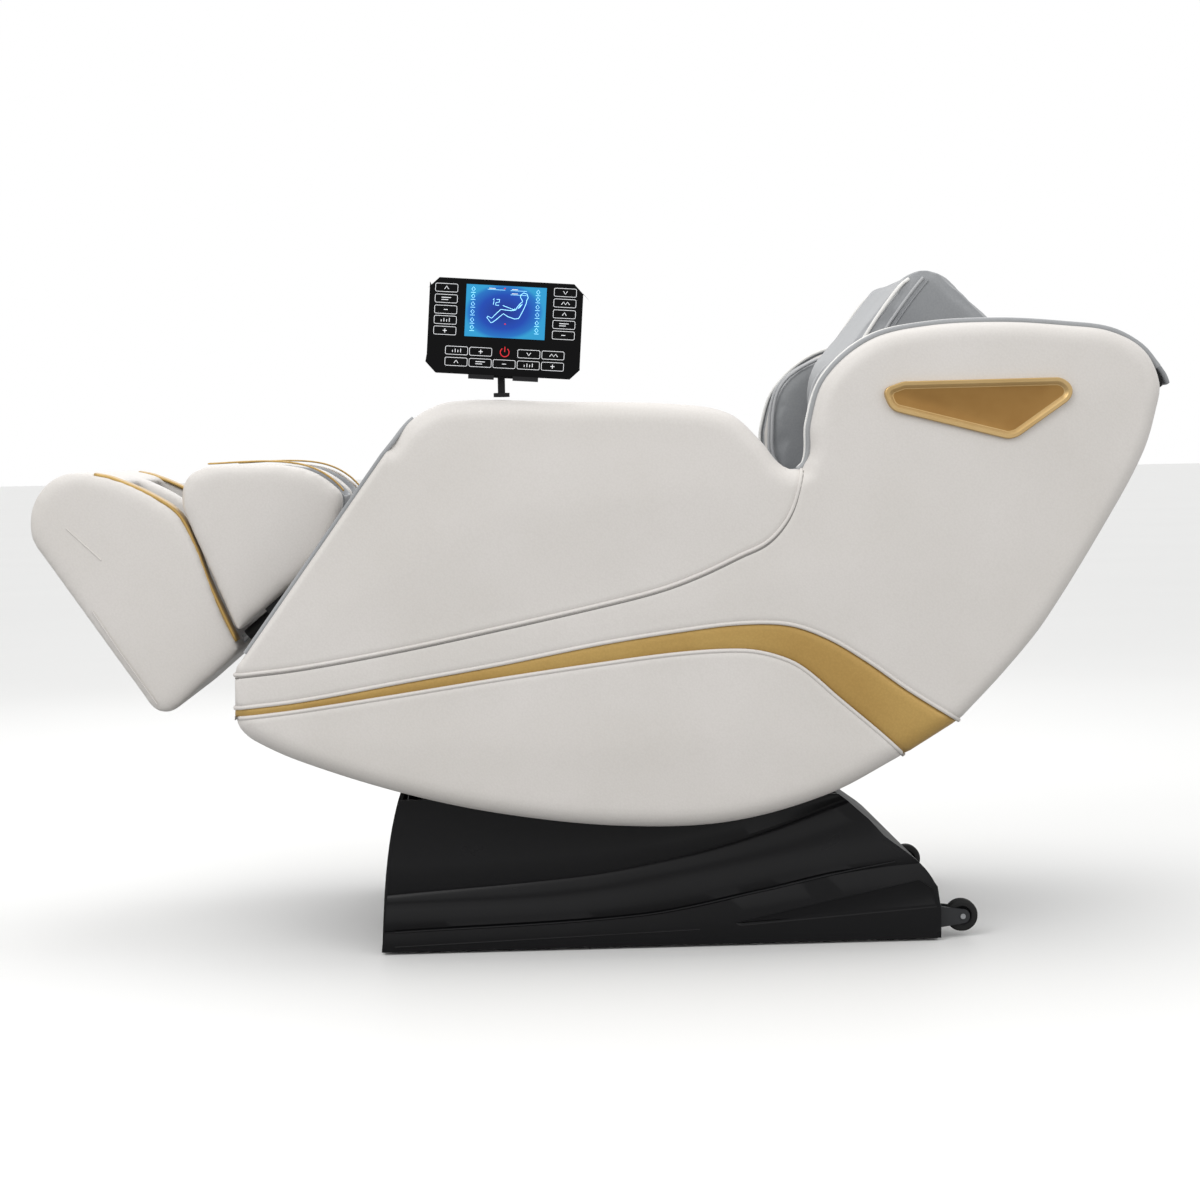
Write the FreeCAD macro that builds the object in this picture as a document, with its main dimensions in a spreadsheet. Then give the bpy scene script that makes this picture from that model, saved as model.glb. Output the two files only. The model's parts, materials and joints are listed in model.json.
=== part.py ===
# Zero-gravity massage chair, modelled in the fully reclined pose.
# +X points to the head end, the sitter faces -X, +Z is up, the floor is z = 0.
# The sitter's left side is -Y. All sizes are in millimetres.
import FreeCAD, Part
import math
import os

doc = FreeCAD.newDocument("massage_chair")
sheet = doc.addObject("Spreadsheet::Sheet", "Sizes")

driving = {
    # the whole chair, reclined
    "overall_length": 1746, "overall_height": 1036, "overall_width": 740,
    # upholstered side walls
    "panel_thickness": 66, "panel_crown": 4, "belt_sink": 3, "badge_rise": 4,
    # seat and back
    "seat_thickness": 95, "back_thickness": 60, "pillow_side_gap": 57,
    "arm_pad_thickness": 43, "soft_gap": 2, "pillow_gap": 4,
    # steel frame of the shell
    "frame_plate": 24, "frame_depth": 50, "tube_radius": 15, "pan_thickness": 3,
    "pivot_pin_radius": 10, "leg_pin_radius": 8, "pin_fit": 0.05,
    "lug_half_gap": 14, "lug_plate": 6, "lug_pin_radius": 6, "open_pivot_gap": 6,
    # base
    "base_side_gap": 8, "cover_thickness": 12, "end_wall": 6, "rail_gap": 6, "rail_width": 28,
    "rail_height": 40, "foot_height": 14, "foot_radius": 18, "moving_gap": 6,
    "wheel_radius": 25, "wheel_width": 22, "axle_radius": 4,
    # actuators
    "actuator_radius": 22, "rod_radius": 10, "rod_fit": 0.1, "eye_radius": 20,
    # massage carriage
    "guide_rail_radius": 9, "guide_rail_offset": 130, "slide_fit": 0.1,
    "shaft_radius": 8, "roller_radius": 28, "roller_width": 26, "roller_axle_radius": 5,
    # leg rest
    "leg_side_gap": 50, "leg_wall": 47, "leg_middle_wall": 66, "channel_floor": 38,
    "lining_thickness": 16, "slide_rod_radius": 6, "slide_tube_wall": 3, "slide_inset": 66,
    # control tablet
    "tablet_width": 228, "tablet_height": 141, "tablet_thickness": 14, "tablet_corner": 14,
    "screen_width": 119, "screen_height": 77, "post_radius": 5.5,
}
for row, (alias, number) in enumerate(driving.items(), start=1):
    sheet.set(f"A{row}", alias)
    sheet.set(f"B{row}", str(number))
    sheet.setAlias(f"B{row}", alias)
doc.recompute()


class Size:
    """A length that keeps both its number and its spreadsheet expression."""

    def __init__(self, number, text):
        self.number = float(number)
        self.text = text

    def join(self, other, sign, number):
        right = other.text if isinstance(other, Size) else repr(float(other))
        return Size(number, f"({self.text} {sign} {right})")

    def __add__(self, other):
        return self.join(other, "+", self.number + float(other))

    def __sub__(self, other):
        return self.join(other, "-", self.number - float(other))

    def __mul__(self, other):
        return self.join(other, "*", self.number * float(other))

    def __truediv__(self, other):
        return self.join(other, "/", self.number / float(other))

    def __float__(self):
        return self.number


def size(alias):
    return Size(sheet.get(alias), f"Sizes.{alias}")


def bind(item, field, value):
    if isinstance(value, Size):
        item.setExpression(field, value.text)
    else:
        item.setExpression(field, repr(float(value)))
    return item


# ---------------------------------------------------------------- places across the chair
half_width = size("overall_width") / 2
panel_outer = half_width - size("panel_crown")
panel_inner = panel_outer - size("panel_thickness")
lining_outer = panel_inner - 1
cover_outer = panel_inner - size("base_side_gap")
cover_inner = cover_outer - size("cover_thickness")
rail_outer = cover_inner - size("rail_gap")
rail_inner = rail_outer - size("rail_width")
frame_outer = rail_inner - size("moving_gap")
frame_inner = frame_outer - size("frame_plate")
leg_half = panel_inner - size("leg_side_gap")
channel_outer = leg_half - size("leg_wall")
channel_inner = size("leg_middle_wall") / 2
zero = size("overall_width") * 0

# ---------------------------------------------------------------- places along the chair
stretch = float(size("overall_length")) / 1746
lift = float(size("overall_height")) / 1036


def at(x, z):
    return (x * stretch, z * lift)


class Line:
    """A slanted working line: points are given along it and square to it."""

    def __init__(self, start, end):
        self.start = start
        self.length = math.dist(start, end)
        self.angle = math.atan2(end[1] - start[1], end[0] - start[0])

    def point(self, along, above=0.0):
        c, s = math.cos(self.angle), math.sin(self.angle)
        return (self.start[0] + along * c - above * s, self.start[1] + along * s + above * c)

    def turn(self):
        return FreeCAD.Rotation(FreeCAD.Vector(0, 1, 0), -math.degrees(self.angle))

    def direction(self):
        return FreeCAD.Vector(math.cos(self.angle), 0, math.sin(self.angle))


hip = at(120, 395)
knee = at(-372, 655)
neck = at(555, 905)
tilt_pivot = at(-120, 240)
seat = Line(knee, hip)                      # along: from the knees back to the hips
back = Line(hip, neck)                      # along: from the hips up to the neck
slide = Line(at(-560, 480), at(-407, 608))  # the foot section slides along this line
leg_hinge = seat.point(-4, -120)
tilt_lug = at(75, 275)                      # tilt actuator's pin on the shell
tilt_anchor = at(275, 66)                   # and on the base
leg_lug = (leg_hinge[0] - 34, leg_hinge[1] - 72)
leg_anchor = at(-190, 425)
wheel_centre = at(546, 33)


# ---------------------------------------------------------------- drawing helpers
def meeting(line_a, above_a, line_b, above_b):
    """Where two lines that run beside two working lines cross."""
    p, q = line_a.point(0, above_a), line_b.point(0, above_b)
    ca, sa = math.cos(line_a.angle), math.sin(line_a.angle)
    cb, sb = math.cos(line_b.angle), math.sin(line_b.angle)
    run = ((q[0] - p[0]) * sb - (q[1] - p[1]) * cb) / (ca * sb - sa * cb)
    return (p[0] + run * ca, p[1] + run * sa)


def vector(point):
    return FreeCAD.Vector(point[0], point[1], 0)


def straight(*points):
    return [Part.LineSegment(vector(a), vector(b)) for a, b in zip(points, points[1:])]


def smooth(*points):
    curve = Part.BSplineCurve()
    curve.interpolate([vector(p) for p in points])
    return [curve]


def arc(start, middle, end):
    return [Part.Arc(vector(start), vector(middle), vector(end))]


def polygon(*points):
    return straight(*points, points[0])


def strip(points, thickness):
    """A closed band that follows the points and lies to the right of their direction."""
    inner = []
    for i, p in enumerate(points):
        before, after = points[max(i - 1, 0)], points[min(i + 1, len(points) - 1)]
        dx, dz = after[0] - before[0], after[1] - before[1]
        run = math.hypot(dx, dz)
        inner.append((p[0] + thickness * dz / run, p[1] - thickness * dx / run))
    draw = smooth if len(points) > 2 else straight
    return (draw(*points) + straight(points[-1], inner[-1])
            + draw(*inner) + straight(inner[0], points[0]))


def plate(name, outline, inner, outer, side=1):
    """A body: a side-view outline padded across the chair from inner to outer."""
    body = doc.addObject("PartDesign::Body", name)
    plane = [f for f in body.Origin.OriginFeatures if f.Role == "XZ_Plane"][0]
    sketch = body.newObject("Sketcher::SketchObject", name + "_outline")
    sketch.AttachmentSupport = [(plane, "")]
    sketch.MapMode = "FlatFace"
    sketch.addGeometry(outline, False)
    pad = body.newObject("PartDesign::Pad", name + "_pad")
    pad.Profile = sketch
    pad.SideType = "Symmetric"
    bind(pad, "Length", outer - inner)
    bind(body, "Placement.Base.y", (outer + inner) / 2 * side)
    sketch.Visibility = False
    return body


def centred(name, outline, half):
    return plate(name, outline, half * -1, half)


def pin(name, centre, radius, start, end):
    """A round bar across the chair."""
    bar = doc.addObject("Part::Cylinder", name)
    turn = FreeCAD.Rotation(FreeCAD.Vector(1, 0, 0), -90)
    bar.Placement = FreeCAD.Placement(FreeCAD.Vector(centre[0], 0, centre[1]), turn)
    bind(bar, "Radius", radius)
    bind(bar, "Height", end - start)
    bind(bar, "Placement.Base.y", start)
    return bar


def bar_along(name, line, first, last, above, y, radius):
    """A round bar along a working line."""
    bar = doc.addObject("Part::Cylinder", name)
    base = line.point(first, above)
    turn = FreeCAD.Rotation(FreeCAD.Vector(0, 0, 1), line.direction())
    bar.Placement = FreeCAD.Placement(FreeCAD.Vector(base[0], 0, base[1]), turn)
    bind(bar, "Radius", radius)
    bind(bar, "Height", last - first)
    bind(bar, "Placement.Base.y", y)
    return bar


def upright(name, x, y, low, high, radius):
    post = doc.addObject("Part::Cylinder", name)
    post.Placement = FreeCAD.Placement(FreeCAD.Vector(x, 0, low), FreeCAD.Rotation())
    bind(post, "Radius", radius)
    bind(post, "Height", high - low)
    bind(post, "Placement.Base.y", y)
    return post


def block(name, line, first, last, low, high, left, right):
    """A box set square to a working line."""
    box = doc.addObject("Part::Box", name)
    base = line.point(first, low)
    box.Placement = FreeCAD.Placement(FreeCAD.Vector(base[0], 0, base[1]), line.turn())
    bind(box, "Length", last - first)
    bind(box, "Height", high - low)
    bind(box, "Width", right - left)
    bind(box, "Placement.Base.y", left)
    return box


level = Line((0.0, 0.0), (1.0, 0.0))


def fused(name, *items):
    joined = doc.addObject("Part::MultiFuse", name)
    joined.Shapes = list(items)
    return joined


def cut(name, base, *tools):
    result = doc.addObject("Part::Cut", name)
    result.Base = base
    result.Tool = tools[0] if len(tools) == 1 else fused(name + "_tool", *tools)
    return result


def common(name, base, tool):
    result = doc.addObject("Part::Common", name)
    result.Base = base
    result.Tool = tool
    return result


def group(name, *items):
    together = doc.addObject("Part::Compound", name)
    together.Links = list(items)
    return together


nodes = {}


def keep(name, item):
    item.Label = name
    nodes[name] = item
    return item


def keep_pair(name, make):
    """Keeps the left and the right piece, each in a node of its own."""
    for word, side in (("left", -1), ("right", 1)):
        keep(f"{name}_{word}", make(f"{name}_{word}_shape", side))


def on_side(inner, outer, side):
    """The two ends of a stretch across the chair, in order, on the given side."""
    return (inner, outer) if side > 0 else (outer * -1, inner * -1)


def both(name, make):
    """Both sides of a piece together."""
    return group(name, make(name + "_l", -1), make(name + "_r", 1))


# ---------------------------------------------------------------- upholstered side walls
notch = at(298, 730)
front_seam = at(-554, 439)
belt_front_top = at(-555, 390)
belt_front_low = at(-556, 374)
belt_rear_top = at(530, 346)
belt_rear_low = at(446, 295)


def path(*points):
    return [at(x, z) for x, z in points]


seam_line = smooth(front_seam, *path((-456, 449), (-308, 473), (-159, 502), (-9, 533), (80, 554),
                                     (140, 575), (200, 602), (245, 624), (278, 665)), notch)
arm_line = (smooth(front_seam, *path((-551, 451), (-542, 463)))
            + straight(at(-542, 463), at(-316, 775))
            + smooth(at(-316, 775), *path((-281, 815), (-225, 839), (-63, 836), (115, 829), (190, 814),
                                          (236, 773), (262, 740), (280, 729)), notch))
wing_line = smooth(notch, *path((310, 752), (312, 796), (335, 863), (402, 919), (488, 939), (600, 943),
                                (698, 936), (765, 926), (815, 897), (838, 848), (832, 806), (814, 747),
                                (771, 666), (664, 496), (603, 422)), belt_rear_top)
belt_top = smooth(belt_front_top, *path((-457, 400), (-309, 424), (-160, 448), (-11, 475), (109, 492),
                                        (199, 501), (273, 498), (333, 476), (393, 439), (452, 396)),
                  belt_rear_top)
belt_low = smooth(belt_front_low, *path((-458, 384), (-309, 404), (-160, 425), (-11, 444), (108, 457),
                                        (198, 460), (243, 453), (288, 434), (347, 383), (406, 332)),
                  belt_rear_low)
keel_line = smooth(belt_rear_low, *path((330, 237), (179, 199), (14, 197), (-165, 220), (-313, 255),
                                        (-460, 305), (-530, 339), (-550, 358)), belt_front_low)


def side_panel(name, side):
    outline = seam_line + wing_line + belt_top + straight(front_seam, belt_front_top)
    return plate(name, outline, panel_inner, panel_outer, side)


def armrest_panel(name, side):
    return plate(name, seam_line + arm_line, panel_inner, panel_outer, side)


def belt_trim(name, side):
    outline = (belt_top + straight(belt_rear_top, belt_rear_low) + belt_low
               + straight(belt_front_low, belt_front_top))
    return plate(name, outline, panel_inner, panel_outer - size("belt_sink"), side)


def lower_panel(name, side):
    return plate(name, belt_low + keel_line, panel_inner, panel_outer, side)


def wing_badge(name, side):
    outline = polygon(*path((413, 843), (424, 852), (676, 857), (694, 855), (703, 840), (697, 826),
                            (617, 770), (603, 766), (440, 803), (426, 812)))
    return plate(name, outline, panel_outer, panel_outer + size("badge_rise"), side)


keep_pair("side_panel", side_panel)
keep("armrest_panels", both("armrest_panels_shape", armrest_panel))
keep("belt_trims", both("belt_trims_shape", belt_trim))
keep("lower_panels", both("lower_panels_shape", lower_panel))
keep("wing_badges", both("wing_badges_shape", wing_badge))

# ---------------------------------------------------------------- cushions and pads
seat_low = -float(size("seat_thickness"))
spine_front = -float(size("back_thickness")) - 6      # the spine plates run behind the back pad
spine_rear = spine_front - 84
seat_half = panel_inner - size("arm_pad_thickness") - 5
back_half = seat_half - size("soft_gap")
rear_top = meeting(seat, 0, back, spine_front + 3)
rear_low = meeting(seat, seat_low, back, spine_front + 3)
seat_outline = (straight(rear_top, seat.point(40))
                + smooth(seat.point(40), seat.point(8, -10), seat.point(0, -40))
                + straight(seat.point(0, -40), seat.point(6, seat_low), rear_low, rear_top))
keep("seat_cushion", centred("seat_cushion_shape", seat_outline, seat_half))

back_surface = [back.point(27), back.point(200), back.point(400), back.point(600),
                at(560, 902), at(625, 922), at(700, 917), at(785, 893)]
keep("back_pad", centred("back_pad_shape", strip(back_surface, float(size("back_thickness"))), back_half))

pillow_rise = float(size("pillow_gap"))
pillow_outline = (straight(back.point(478, pillow_rise), back.point(600, pillow_rise))
                  + smooth(back.point(600, pillow_rise), at(556, 905), at(628, 930))
                  + straight(at(628, 930), at(634, 937), at(606, 966), at(541, 1028))
                  + smooth(at(541, 1028), at(517, 1036), at(492, 1032))
                  + straight(at(492, 1032), back.point(560, 127))
                  + smooth(back.point(560, 127), back.point(496, 92), back.point(478, pillow_rise)))
keep("head_pillow", centred("head_pillow_shape", pillow_outline, seat_half - size("pillow_side_gap")))

shoulder_outline = (smooth(*path((330, 720), (319, 780), (327, 850), (350, 885), (405, 915), (500, 930),
                                 (600, 932), (650, 905)))
                    + straight(*path((650, 905), (520, 770), (400, 690), (330, 720))))
arm_pad_outline = (straight(*path((-425, 585), (-405, 600), (-292, 765)))
                   + smooth(*path((-292, 765), (-262, 797), (-215, 812), (-63, 812), (110, 804), (180, 785),
                                  (226, 742), (252, 716), (288, 700)))
                   + straight(*path((288, 700), (215, 520), (120, 400), (-425, 585))))


def shoulder_pad(name, side):
    return plate(name, shoulder_outline, back_half + size("soft_gap"), lining_outer, side)


def arm_pad(name, side):
    return plate(name, arm_pad_outline, lining_outer - size("arm_pad_thickness"), lining_outer, side)


keep("shoulder_pads", both("shoulder_pads_shape", shoulder_pad))
keep("arm_pads", both("arm_pads_shape", arm_pad))

# ---------------------------------------------------------------- steel frame of the shell
bar_low = seat_low - float(size("frame_depth"))
frame_top = 655
spine_outline = polygon(seat.point(-26, seat_low), seat.point(-26, bar_low),
                        meeting(seat, bar_low, back, spine_rear), back.point(frame_top, spine_rear),
                        back.point(frame_top, spine_front), meeting(seat, seat_low, back, spine_front))
ear_top = meeting(seat, seat_low - 10, Line(tilt_pivot, (tilt_pivot[0], tilt_pivot[1] + 1)), 0)
ear_outline = (arc((tilt_pivot[0] - 26, tilt_pivot[1]), (tilt_pivot[0], tilt_pivot[1] - 26),
                   (tilt_pivot[0] + 26, tilt_pivot[1]))
               + straight((tilt_pivot[0] + 26, tilt_pivot[1]), (ear_top[0] + 70, ear_top[1] - 40),
                          (ear_top[0] - 70, ear_top[1] + 20), (tilt_pivot[0] - 26, tilt_pivot[1])))


def frame_side(name, side):
    spine = plate(name + "_spine", spine_outline, frame_inner, frame_outer, side)
    ear = plate(name + "_ear", ear_outline, frame_inner, frame_outer, side)
    brackets = []
    # welded brackets carry the side wall
    spots = ((90, seat_low - 31, seat), (470, seat_low - 31, seat),
             (330, spine_front - 50, back), (600, spine_front - 50, back))
    for place, (along, above, line) in enumerate(spots):
        centre = line.point(along, above)
        outline = polygon((centre[0] - 20, centre[1] - 20), (centre[0] + 20, centre[1] - 20),
                          (centre[0] + 20, centre[1] + 20), (centre[0] - 20, centre[1] + 20))
        brackets.append(plate(f"{name}_bracket{place}", outline, frame_outer, panel_inner, side))
    start, end = on_side(frame_inner - 20, panel_inner + 20, side)
    holes = [pin(name + "_pivot_hole", tilt_pivot, size("pivot_pin_radius") + size("pin_fit"), start, end),
             pin(name + "_leg_hole", leg_hinge, size("leg_pin_radius"), start, end)]
    return cut(name, fused(name + "_weld", spine, ear, *brackets), *holes)


keep("frame_sides", both("frame_sides_shape", frame_side))


def lug_pair(name, root, tip, radius):
    """Two plates that reach from a tube to a pin, with the pin across them."""
    reach = Line(root, tip)
    outline = (straight(reach.point(0, radius), reach.point(reach.length, radius))
               + arc(reach.point(reach.length, radius), reach.point(reach.length + radius),
                     reach.point(reach.length, -radius))
               + straight(reach.point(reach.length, -radius), reach.point(0, -radius),
                          reach.point(0, radius)))
    inner = size("lug_half_gap")
    outer = inner + size("lug_plate")
    pieces = [plate(f"{name}_{side + 1}", outline, inner, outer, side) for side in (-1, 1)]
    return pieces + [pin(name + "_pin", tip, size("lug_pin_radius"), outer * -1, outer)]


def cross_tube(name, centre):
    return pin(name, centre, size("tube_radius"), frame_inner * -1, frame_inner)


tube_drop = seat_low - float(size("pan_thickness")) - float(size("tube_radius")) - 1
front_tube = cross_tube("front_tube", seat.point(56, tube_drop - 3))
leg_tube_place = (leg_anchor[0] + 41.47, leg_anchor[1] - 17.03)
tilt_tube_place = (tilt_lug[0] - 38.63, tilt_lug[1] + 21.68)
leg_tube = fused("leg_tube", cross_tube("leg_tube_bar", leg_tube_place),
                 *lug_pair("leg_anchor_lug", leg_tube_place, leg_anchor, 12))
tilt_tube = fused("tilt_tube", cross_tube("tilt_tube_bar", tilt_tube_place),
                  *lug_pair("tilt_lug", tilt_tube_place, tilt_lug, 12))
rail_depth = -130
rail_first, rail_last = 60, 630
tube_r = float(size("tube_radius"))
low_tube = cross_tube("low_tube", back.point(rail_first - tube_r, rail_depth))
high_tube = cross_tube("high_tube", back.point(rail_last + tube_r, rail_depth))
keep("cross_tubes", group("cross_tubes_shape", front_tube, leg_tube, tilt_tube, low_tube, high_tube))
keep("seat_pan", block("seat_pan_shape", seat, 20, seat.length + 30, seat_low - float(size("pan_thickness")),
                       seat_low, frame_inner * -1, frame_inner))


def guide_rail(name, side):
    return bar_along(name, back, rail_first, rail_last, rail_depth, size("guide_rail_offset") * side,
                     size("guide_rail_radius"))


keep("guide_rails", both("guide_rails_shape", guide_rail))


def hinge_pins(name, side):
    """Tilt pin through the post, and leg rest pin through the frame's front end."""
    spans = ((tilt_pivot, "pivot_pin_radius", frame_inner - 4, rail_outer + 2),
             (leg_hinge, "leg_pin_radius", frame_inner - 26, frame_outer))
    pieces = []
    for word, (centre, radius, start, end) in zip(("tilt", "leg"), spans):
        if side < 0:
            start, end = end * -1, start * -1
        pieces.append(pin(f"{name}_{word}", centre, size(radius), start, end))
    return group(name, *pieces)


keep("hinge_pins", both("hinge_pins_shape", hinge_pins))

under_pan = seat_low - float(size("pan_thickness"))
drive_gap = zero + 65                       # room for the actuators in the middle
pump_outer = frame_inner - 21
keep("air_pump", fused("air_pump_shape",
                       block("pump_case", seat, 120, 250, under_pan - 72, under_pan,
                             pump_outer * -1, drive_gap * -1),
                       bar_along("pump_outlet", seat, 90, 120, under_pan - 36, pump_outer * -2 / 3, 9)))
keep("control_box", block("control_box_shape", seat, 120, 280, under_pan - 52, under_pan,
                          drive_gap, pump_outer))

# ---------------------------------------------------------------- covers of the shell
back_path = path((826, 800), (803, 748), (760, 668), (716, 592), (655, 506), (594, 432), (520, 358),
                 (440, 304))
back_shell = centred("back_shell", strip(back_path, 5), lining_outer - 1)
lip_path = path((768, 924), (806, 914), (840, 892), (863, 867), (871, 848))
lip_skin_thickness = 9
lip_core_path = strip(lip_path, lip_skin_thickness)
lip_half = lining_outer - 9
keep("top_lip", centred("top_lip_shape", lip_core_path, lip_half))
core_outline = (smooth(*path((776, 911), (803, 904), (834, 885), (855, 861)))
                + straight(*path((855, 861), (858, 845), (846, 836), (838, 806), (826, 800), (818, 806),
                                 (828, 846), (790, 899), (776, 911))))
lip_core = centred("lip_core", core_outline, lip_half)
keep("back_cover", fused("back_cover_shape", back_shell, lip_core))


def apron(name, side):
    panel_path = path((-396, 488), (-390, 420), (-352, 334))
    return plate(name, strip(panel_path, -4), zero + 60, lining_outer, side)


keep("front_apron", both("front_apron_shape", apron))

# ---------------------------------------------------------------- base
floor_gap = 4
foot_top = float(size("foot_height"))
rail_top = foot_top + float(size("rail_height"))
base_front, base_rear = at(-350, 0)[0], at(509, 0)[0]
cover_top_front, cover_top_rear = at(-320, 236), at(352, 230)
front_edge = smooth((base_front, floor_gap), at(-345, 85), at(-335, 170), cover_top_front)
rear_edge = (straight((base_rear, floor_gap), at(509, 54))
             + smooth(at(509, 54), at(503, 90), at(478, 120), at(424, 163), at(386, 200), cover_top_rear))
cover_outline = (front_edge + straight(cover_top_front, cover_top_rear) + rear_edge
                 + straight((base_rear, floor_gap), (base_front, floor_gap)))


def base_cover(name, side):
    return plate(name, cover_outline, cover_inner, cover_outer, side)


keep("base_covers", both("base_covers_shape", base_cover))

wall = float(size("end_wall"))
front_wall = centred("front_wall", strip([(base_front, floor_gap), at(-345, 85), at(-335, 170),
                                          cover_top_front], wall), cover_inner)
rear_wall = centred("rear_wall", strip([cover_top_rear, at(386, 200), at(424, 163), at(478, 120),
                                        at(500, 92), at(507, 75), at(509, 54)], wall), cover_inner)
rear_plate_outline = polygon((base_rear - wall, floor_gap), (base_rear, floor_gap), at(509, 54),
                             (base_rear - wall, at(509, 54)[1]))
rear_plate = centred("rear_plate", rear_plate_outline, cover_inner)
panel_left = cover_inner * -1 + 80
panel_right = panel_left + 80
panel_low, panel_high = 13, 50
panel_cut = block("panel_cut", level, base_rear - 40, base_rear + 20, panel_low, panel_high,
                  zero + panel_left, zero + panel_right)
keep("base_ends", group("base_ends_shape", front_wall,
                        cut("rear_wall_cut", fused("rear_wall_whole", rear_wall, rear_plate), panel_cut)))

pivot_x, pivot_z = tilt_pivot
rail_front, rail_back = at(-322, 0)[0], at(470, 0)[0]
post_arc = 28


def base_rail(name, side):
    outline = (straight((rail_front, foot_top), (rail_back, foot_top), (rail_back, rail_top),
                        (pivot_x + 58, rail_top), (pivot_x + post_arc, pivot_z - 90),
                        (pivot_x + post_arc, pivot_z))
               + arc((pivot_x + post_arc, pivot_z), (pivot_x, pivot_z + post_arc),
                     (pivot_x - post_arc, pivot_z))
               + straight((pivot_x - post_arc, pivot_z), (pivot_x - post_arc, pivot_z - 90),
                          (pivot_x - 58, rail_top), (rail_front, rail_top), (rail_front, foot_top)))
    start, end = on_side(rail_inner - 20, rail_outer + 20, side)
    hole = pin(name + "_bore", tilt_pivot, size("pivot_pin_radius") + size("pin_fit"), start, end)
    return cut(name, plate(name + "_rail", outline, rail_inner, rail_outer, side), hole)


keep("base_rails", both("base_rails_shape", base_rail))


def crossbar(name, x):
    return block(name, level, x - 20, x + 20, foot_top, rail_top, rail_inner * -1, rail_inner)


mid_bar_place = (tilt_anchor[0], foot_top + float(size("rail_height")) / 2)
mid_bar = fused("mid_bar", crossbar("mid_bar_tube", tilt_anchor[0]),
                *lug_pair("tilt_anchor_lug", mid_bar_place, tilt_anchor, 13))
front_bar_x, rear_bar_x = at(-280, 0)[0], at(446, 0)[0]
tray = block("base_tray", level, front_bar_x + 20, tilt_anchor[0] - 20, foot_top, foot_top + 3,
             rail_inner * -1, rail_inner)
keep("base_crossbars", group("base_crossbars_shape", crossbar("front_bar", front_bar_x), mid_bar,
                             crossbar("rear_bar", rear_bar_x), tray))


def feet(name, side):
    middle = (rail_inner + rail_outer) / 2 * side
    return group(name, upright(name + "_front", at(-290, 0)[0], middle, 0.0, foot_top, size("foot_radius")),
                 upright(name + "_rear", at(435, 0)[0], middle, 0.0, foot_top, size("foot_radius")))


keep("rubber_feet", both("rubber_feet_shape", feet))
keep("power_supply", block("power_supply_shape", level, -40 * stretch, 130 * stretch,
                           foot_top + 3, foot_top + 65, zero + 70, rail_inner - 46))

# power panel with the mains inlet and the rocker switch
panel_depth = 10
inlet_left, inlet_right = panel_left + 8, panel_left + 36
rocker_left, rocker_right = panel_left + 48, panel_left + 70
opening_low, opening_high = panel_low + 7, panel_high - 7
panel_block = block("panel_block", level, base_rear - panel_depth, base_rear + 2, panel_low, panel_high,
                    zero + panel_left, zero + panel_right)
inlet_hole = block("inlet_hole", level, base_rear - 30, base_rear + 20, opening_low, opening_high,
                   zero + inlet_left, zero + inlet_right)
rocker_gap = 0.6
rocker_hole = block("rocker_hole", level, base_rear - 30, base_rear + 20,
                    opening_low - rocker_gap, opening_high + rocker_gap,
                    zero + rocker_left - rocker_gap, zero + rocker_right + rocker_gap)
keep("power_panel", cut("power_panel_shape", panel_block, inlet_hole, rocker_hole))

inlet_body = block("inlet_body", level, base_rear - 28, base_rear + 2, opening_low, opening_high,
                   zero + inlet_left, zero + inlet_right)
inlet_well = block("inlet_well", level, base_rear - 16, base_rear + 12,
                   opening_low + 2.5, opening_high - 2.5,
                   zero + inlet_left + 2.5, zero + inlet_right - 2.5)
inlet_pins = [block(f"inlet_pin{i}", level, base_rear - 17, base_rear - 3, middle_z - 2, middle_z + 2,
                    zero + inlet_left + 14 + offset - 1, zero + inlet_left + 14 + offset + 1)
              for i, (offset, middle_z) in enumerate(((-7, 29), (7, 29), (0, 35)))]
keep("power_inlet", fused("power_inlet_shape", cut("inlet_shell", inlet_body, inlet_well), *inlet_pins))
rocker_pivot = (base_rear - 6, (opening_low + opening_high) / 2)
rocker_outline = (arc((rocker_pivot[0], opening_low + 0.3), (rocker_pivot[0] - 4, rocker_pivot[1]),
                      (rocker_pivot[0], opening_high - 0.3))
                  + straight((rocker_pivot[0], opening_high - 0.3),
                             (rocker_pivot[0] + 8, opening_high - 1.5),
                             (rocker_pivot[0] + 6, rocker_pivot[1]),
                             (rocker_pivot[0] + 8, opening_low + 1.5),
                             (rocker_pivot[0], opening_low + 0.3)))
keep("power_rocker", plate("power_rocker_shape", rocker_outline, zero + rocker_left, zero + rocker_right))

# transport wheels on brackets behind the base
wheel_inner = cover_inner - 30
wheel_outer = wheel_inner + size("wheel_width")
arm_gap = 1.5


def wheel_bracket(name, side):
    x, z = wheel_centre
    mount_plate = plate(name + "_plate", polygon((base_rear, z - 16), (base_rear + 4, z - 16),
                                                 (base_rear + 4, z + 20), (base_rear, z + 20)),
                        wheel_inner - 5.5, wheel_outer + 5.5, side)
    outline = (straight((base_rear + 4, z - 16), (x, z - 11))
               + arc((x, z - 11), (x + 11, z), (x, z + 11))
               + straight((x, z + 11), (base_rear + 4, z + 16), (base_rear + 4, z - 16)))
    arms = [plate(name + "_inner_arm", outline, wheel_inner - arm_gap - 4, wheel_inner - arm_gap, side),
            plate(name + "_outer_arm", outline, wheel_outer + arm_gap, wheel_outer + arm_gap + 4, side)]
    start, end = wheel_inner - 20, wheel_outer + 20
    if side < 0:
        start, end = end * -1, start * -1
    hole = pin(name + "_hole", wheel_centre, size("axle_radius"), start, end)
    return cut(name, fused(name + "_weld", mount_plate, *arms), hole)


def wheel_axle(name, side):
    start, end = wheel_inner - arm_gap - 6, wheel_outer + arm_gap + 6
    if side < 0:
        start, end = end * -1, start * -1
    return pin(name, wheel_centre, size("axle_radius"), start, end)


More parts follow.
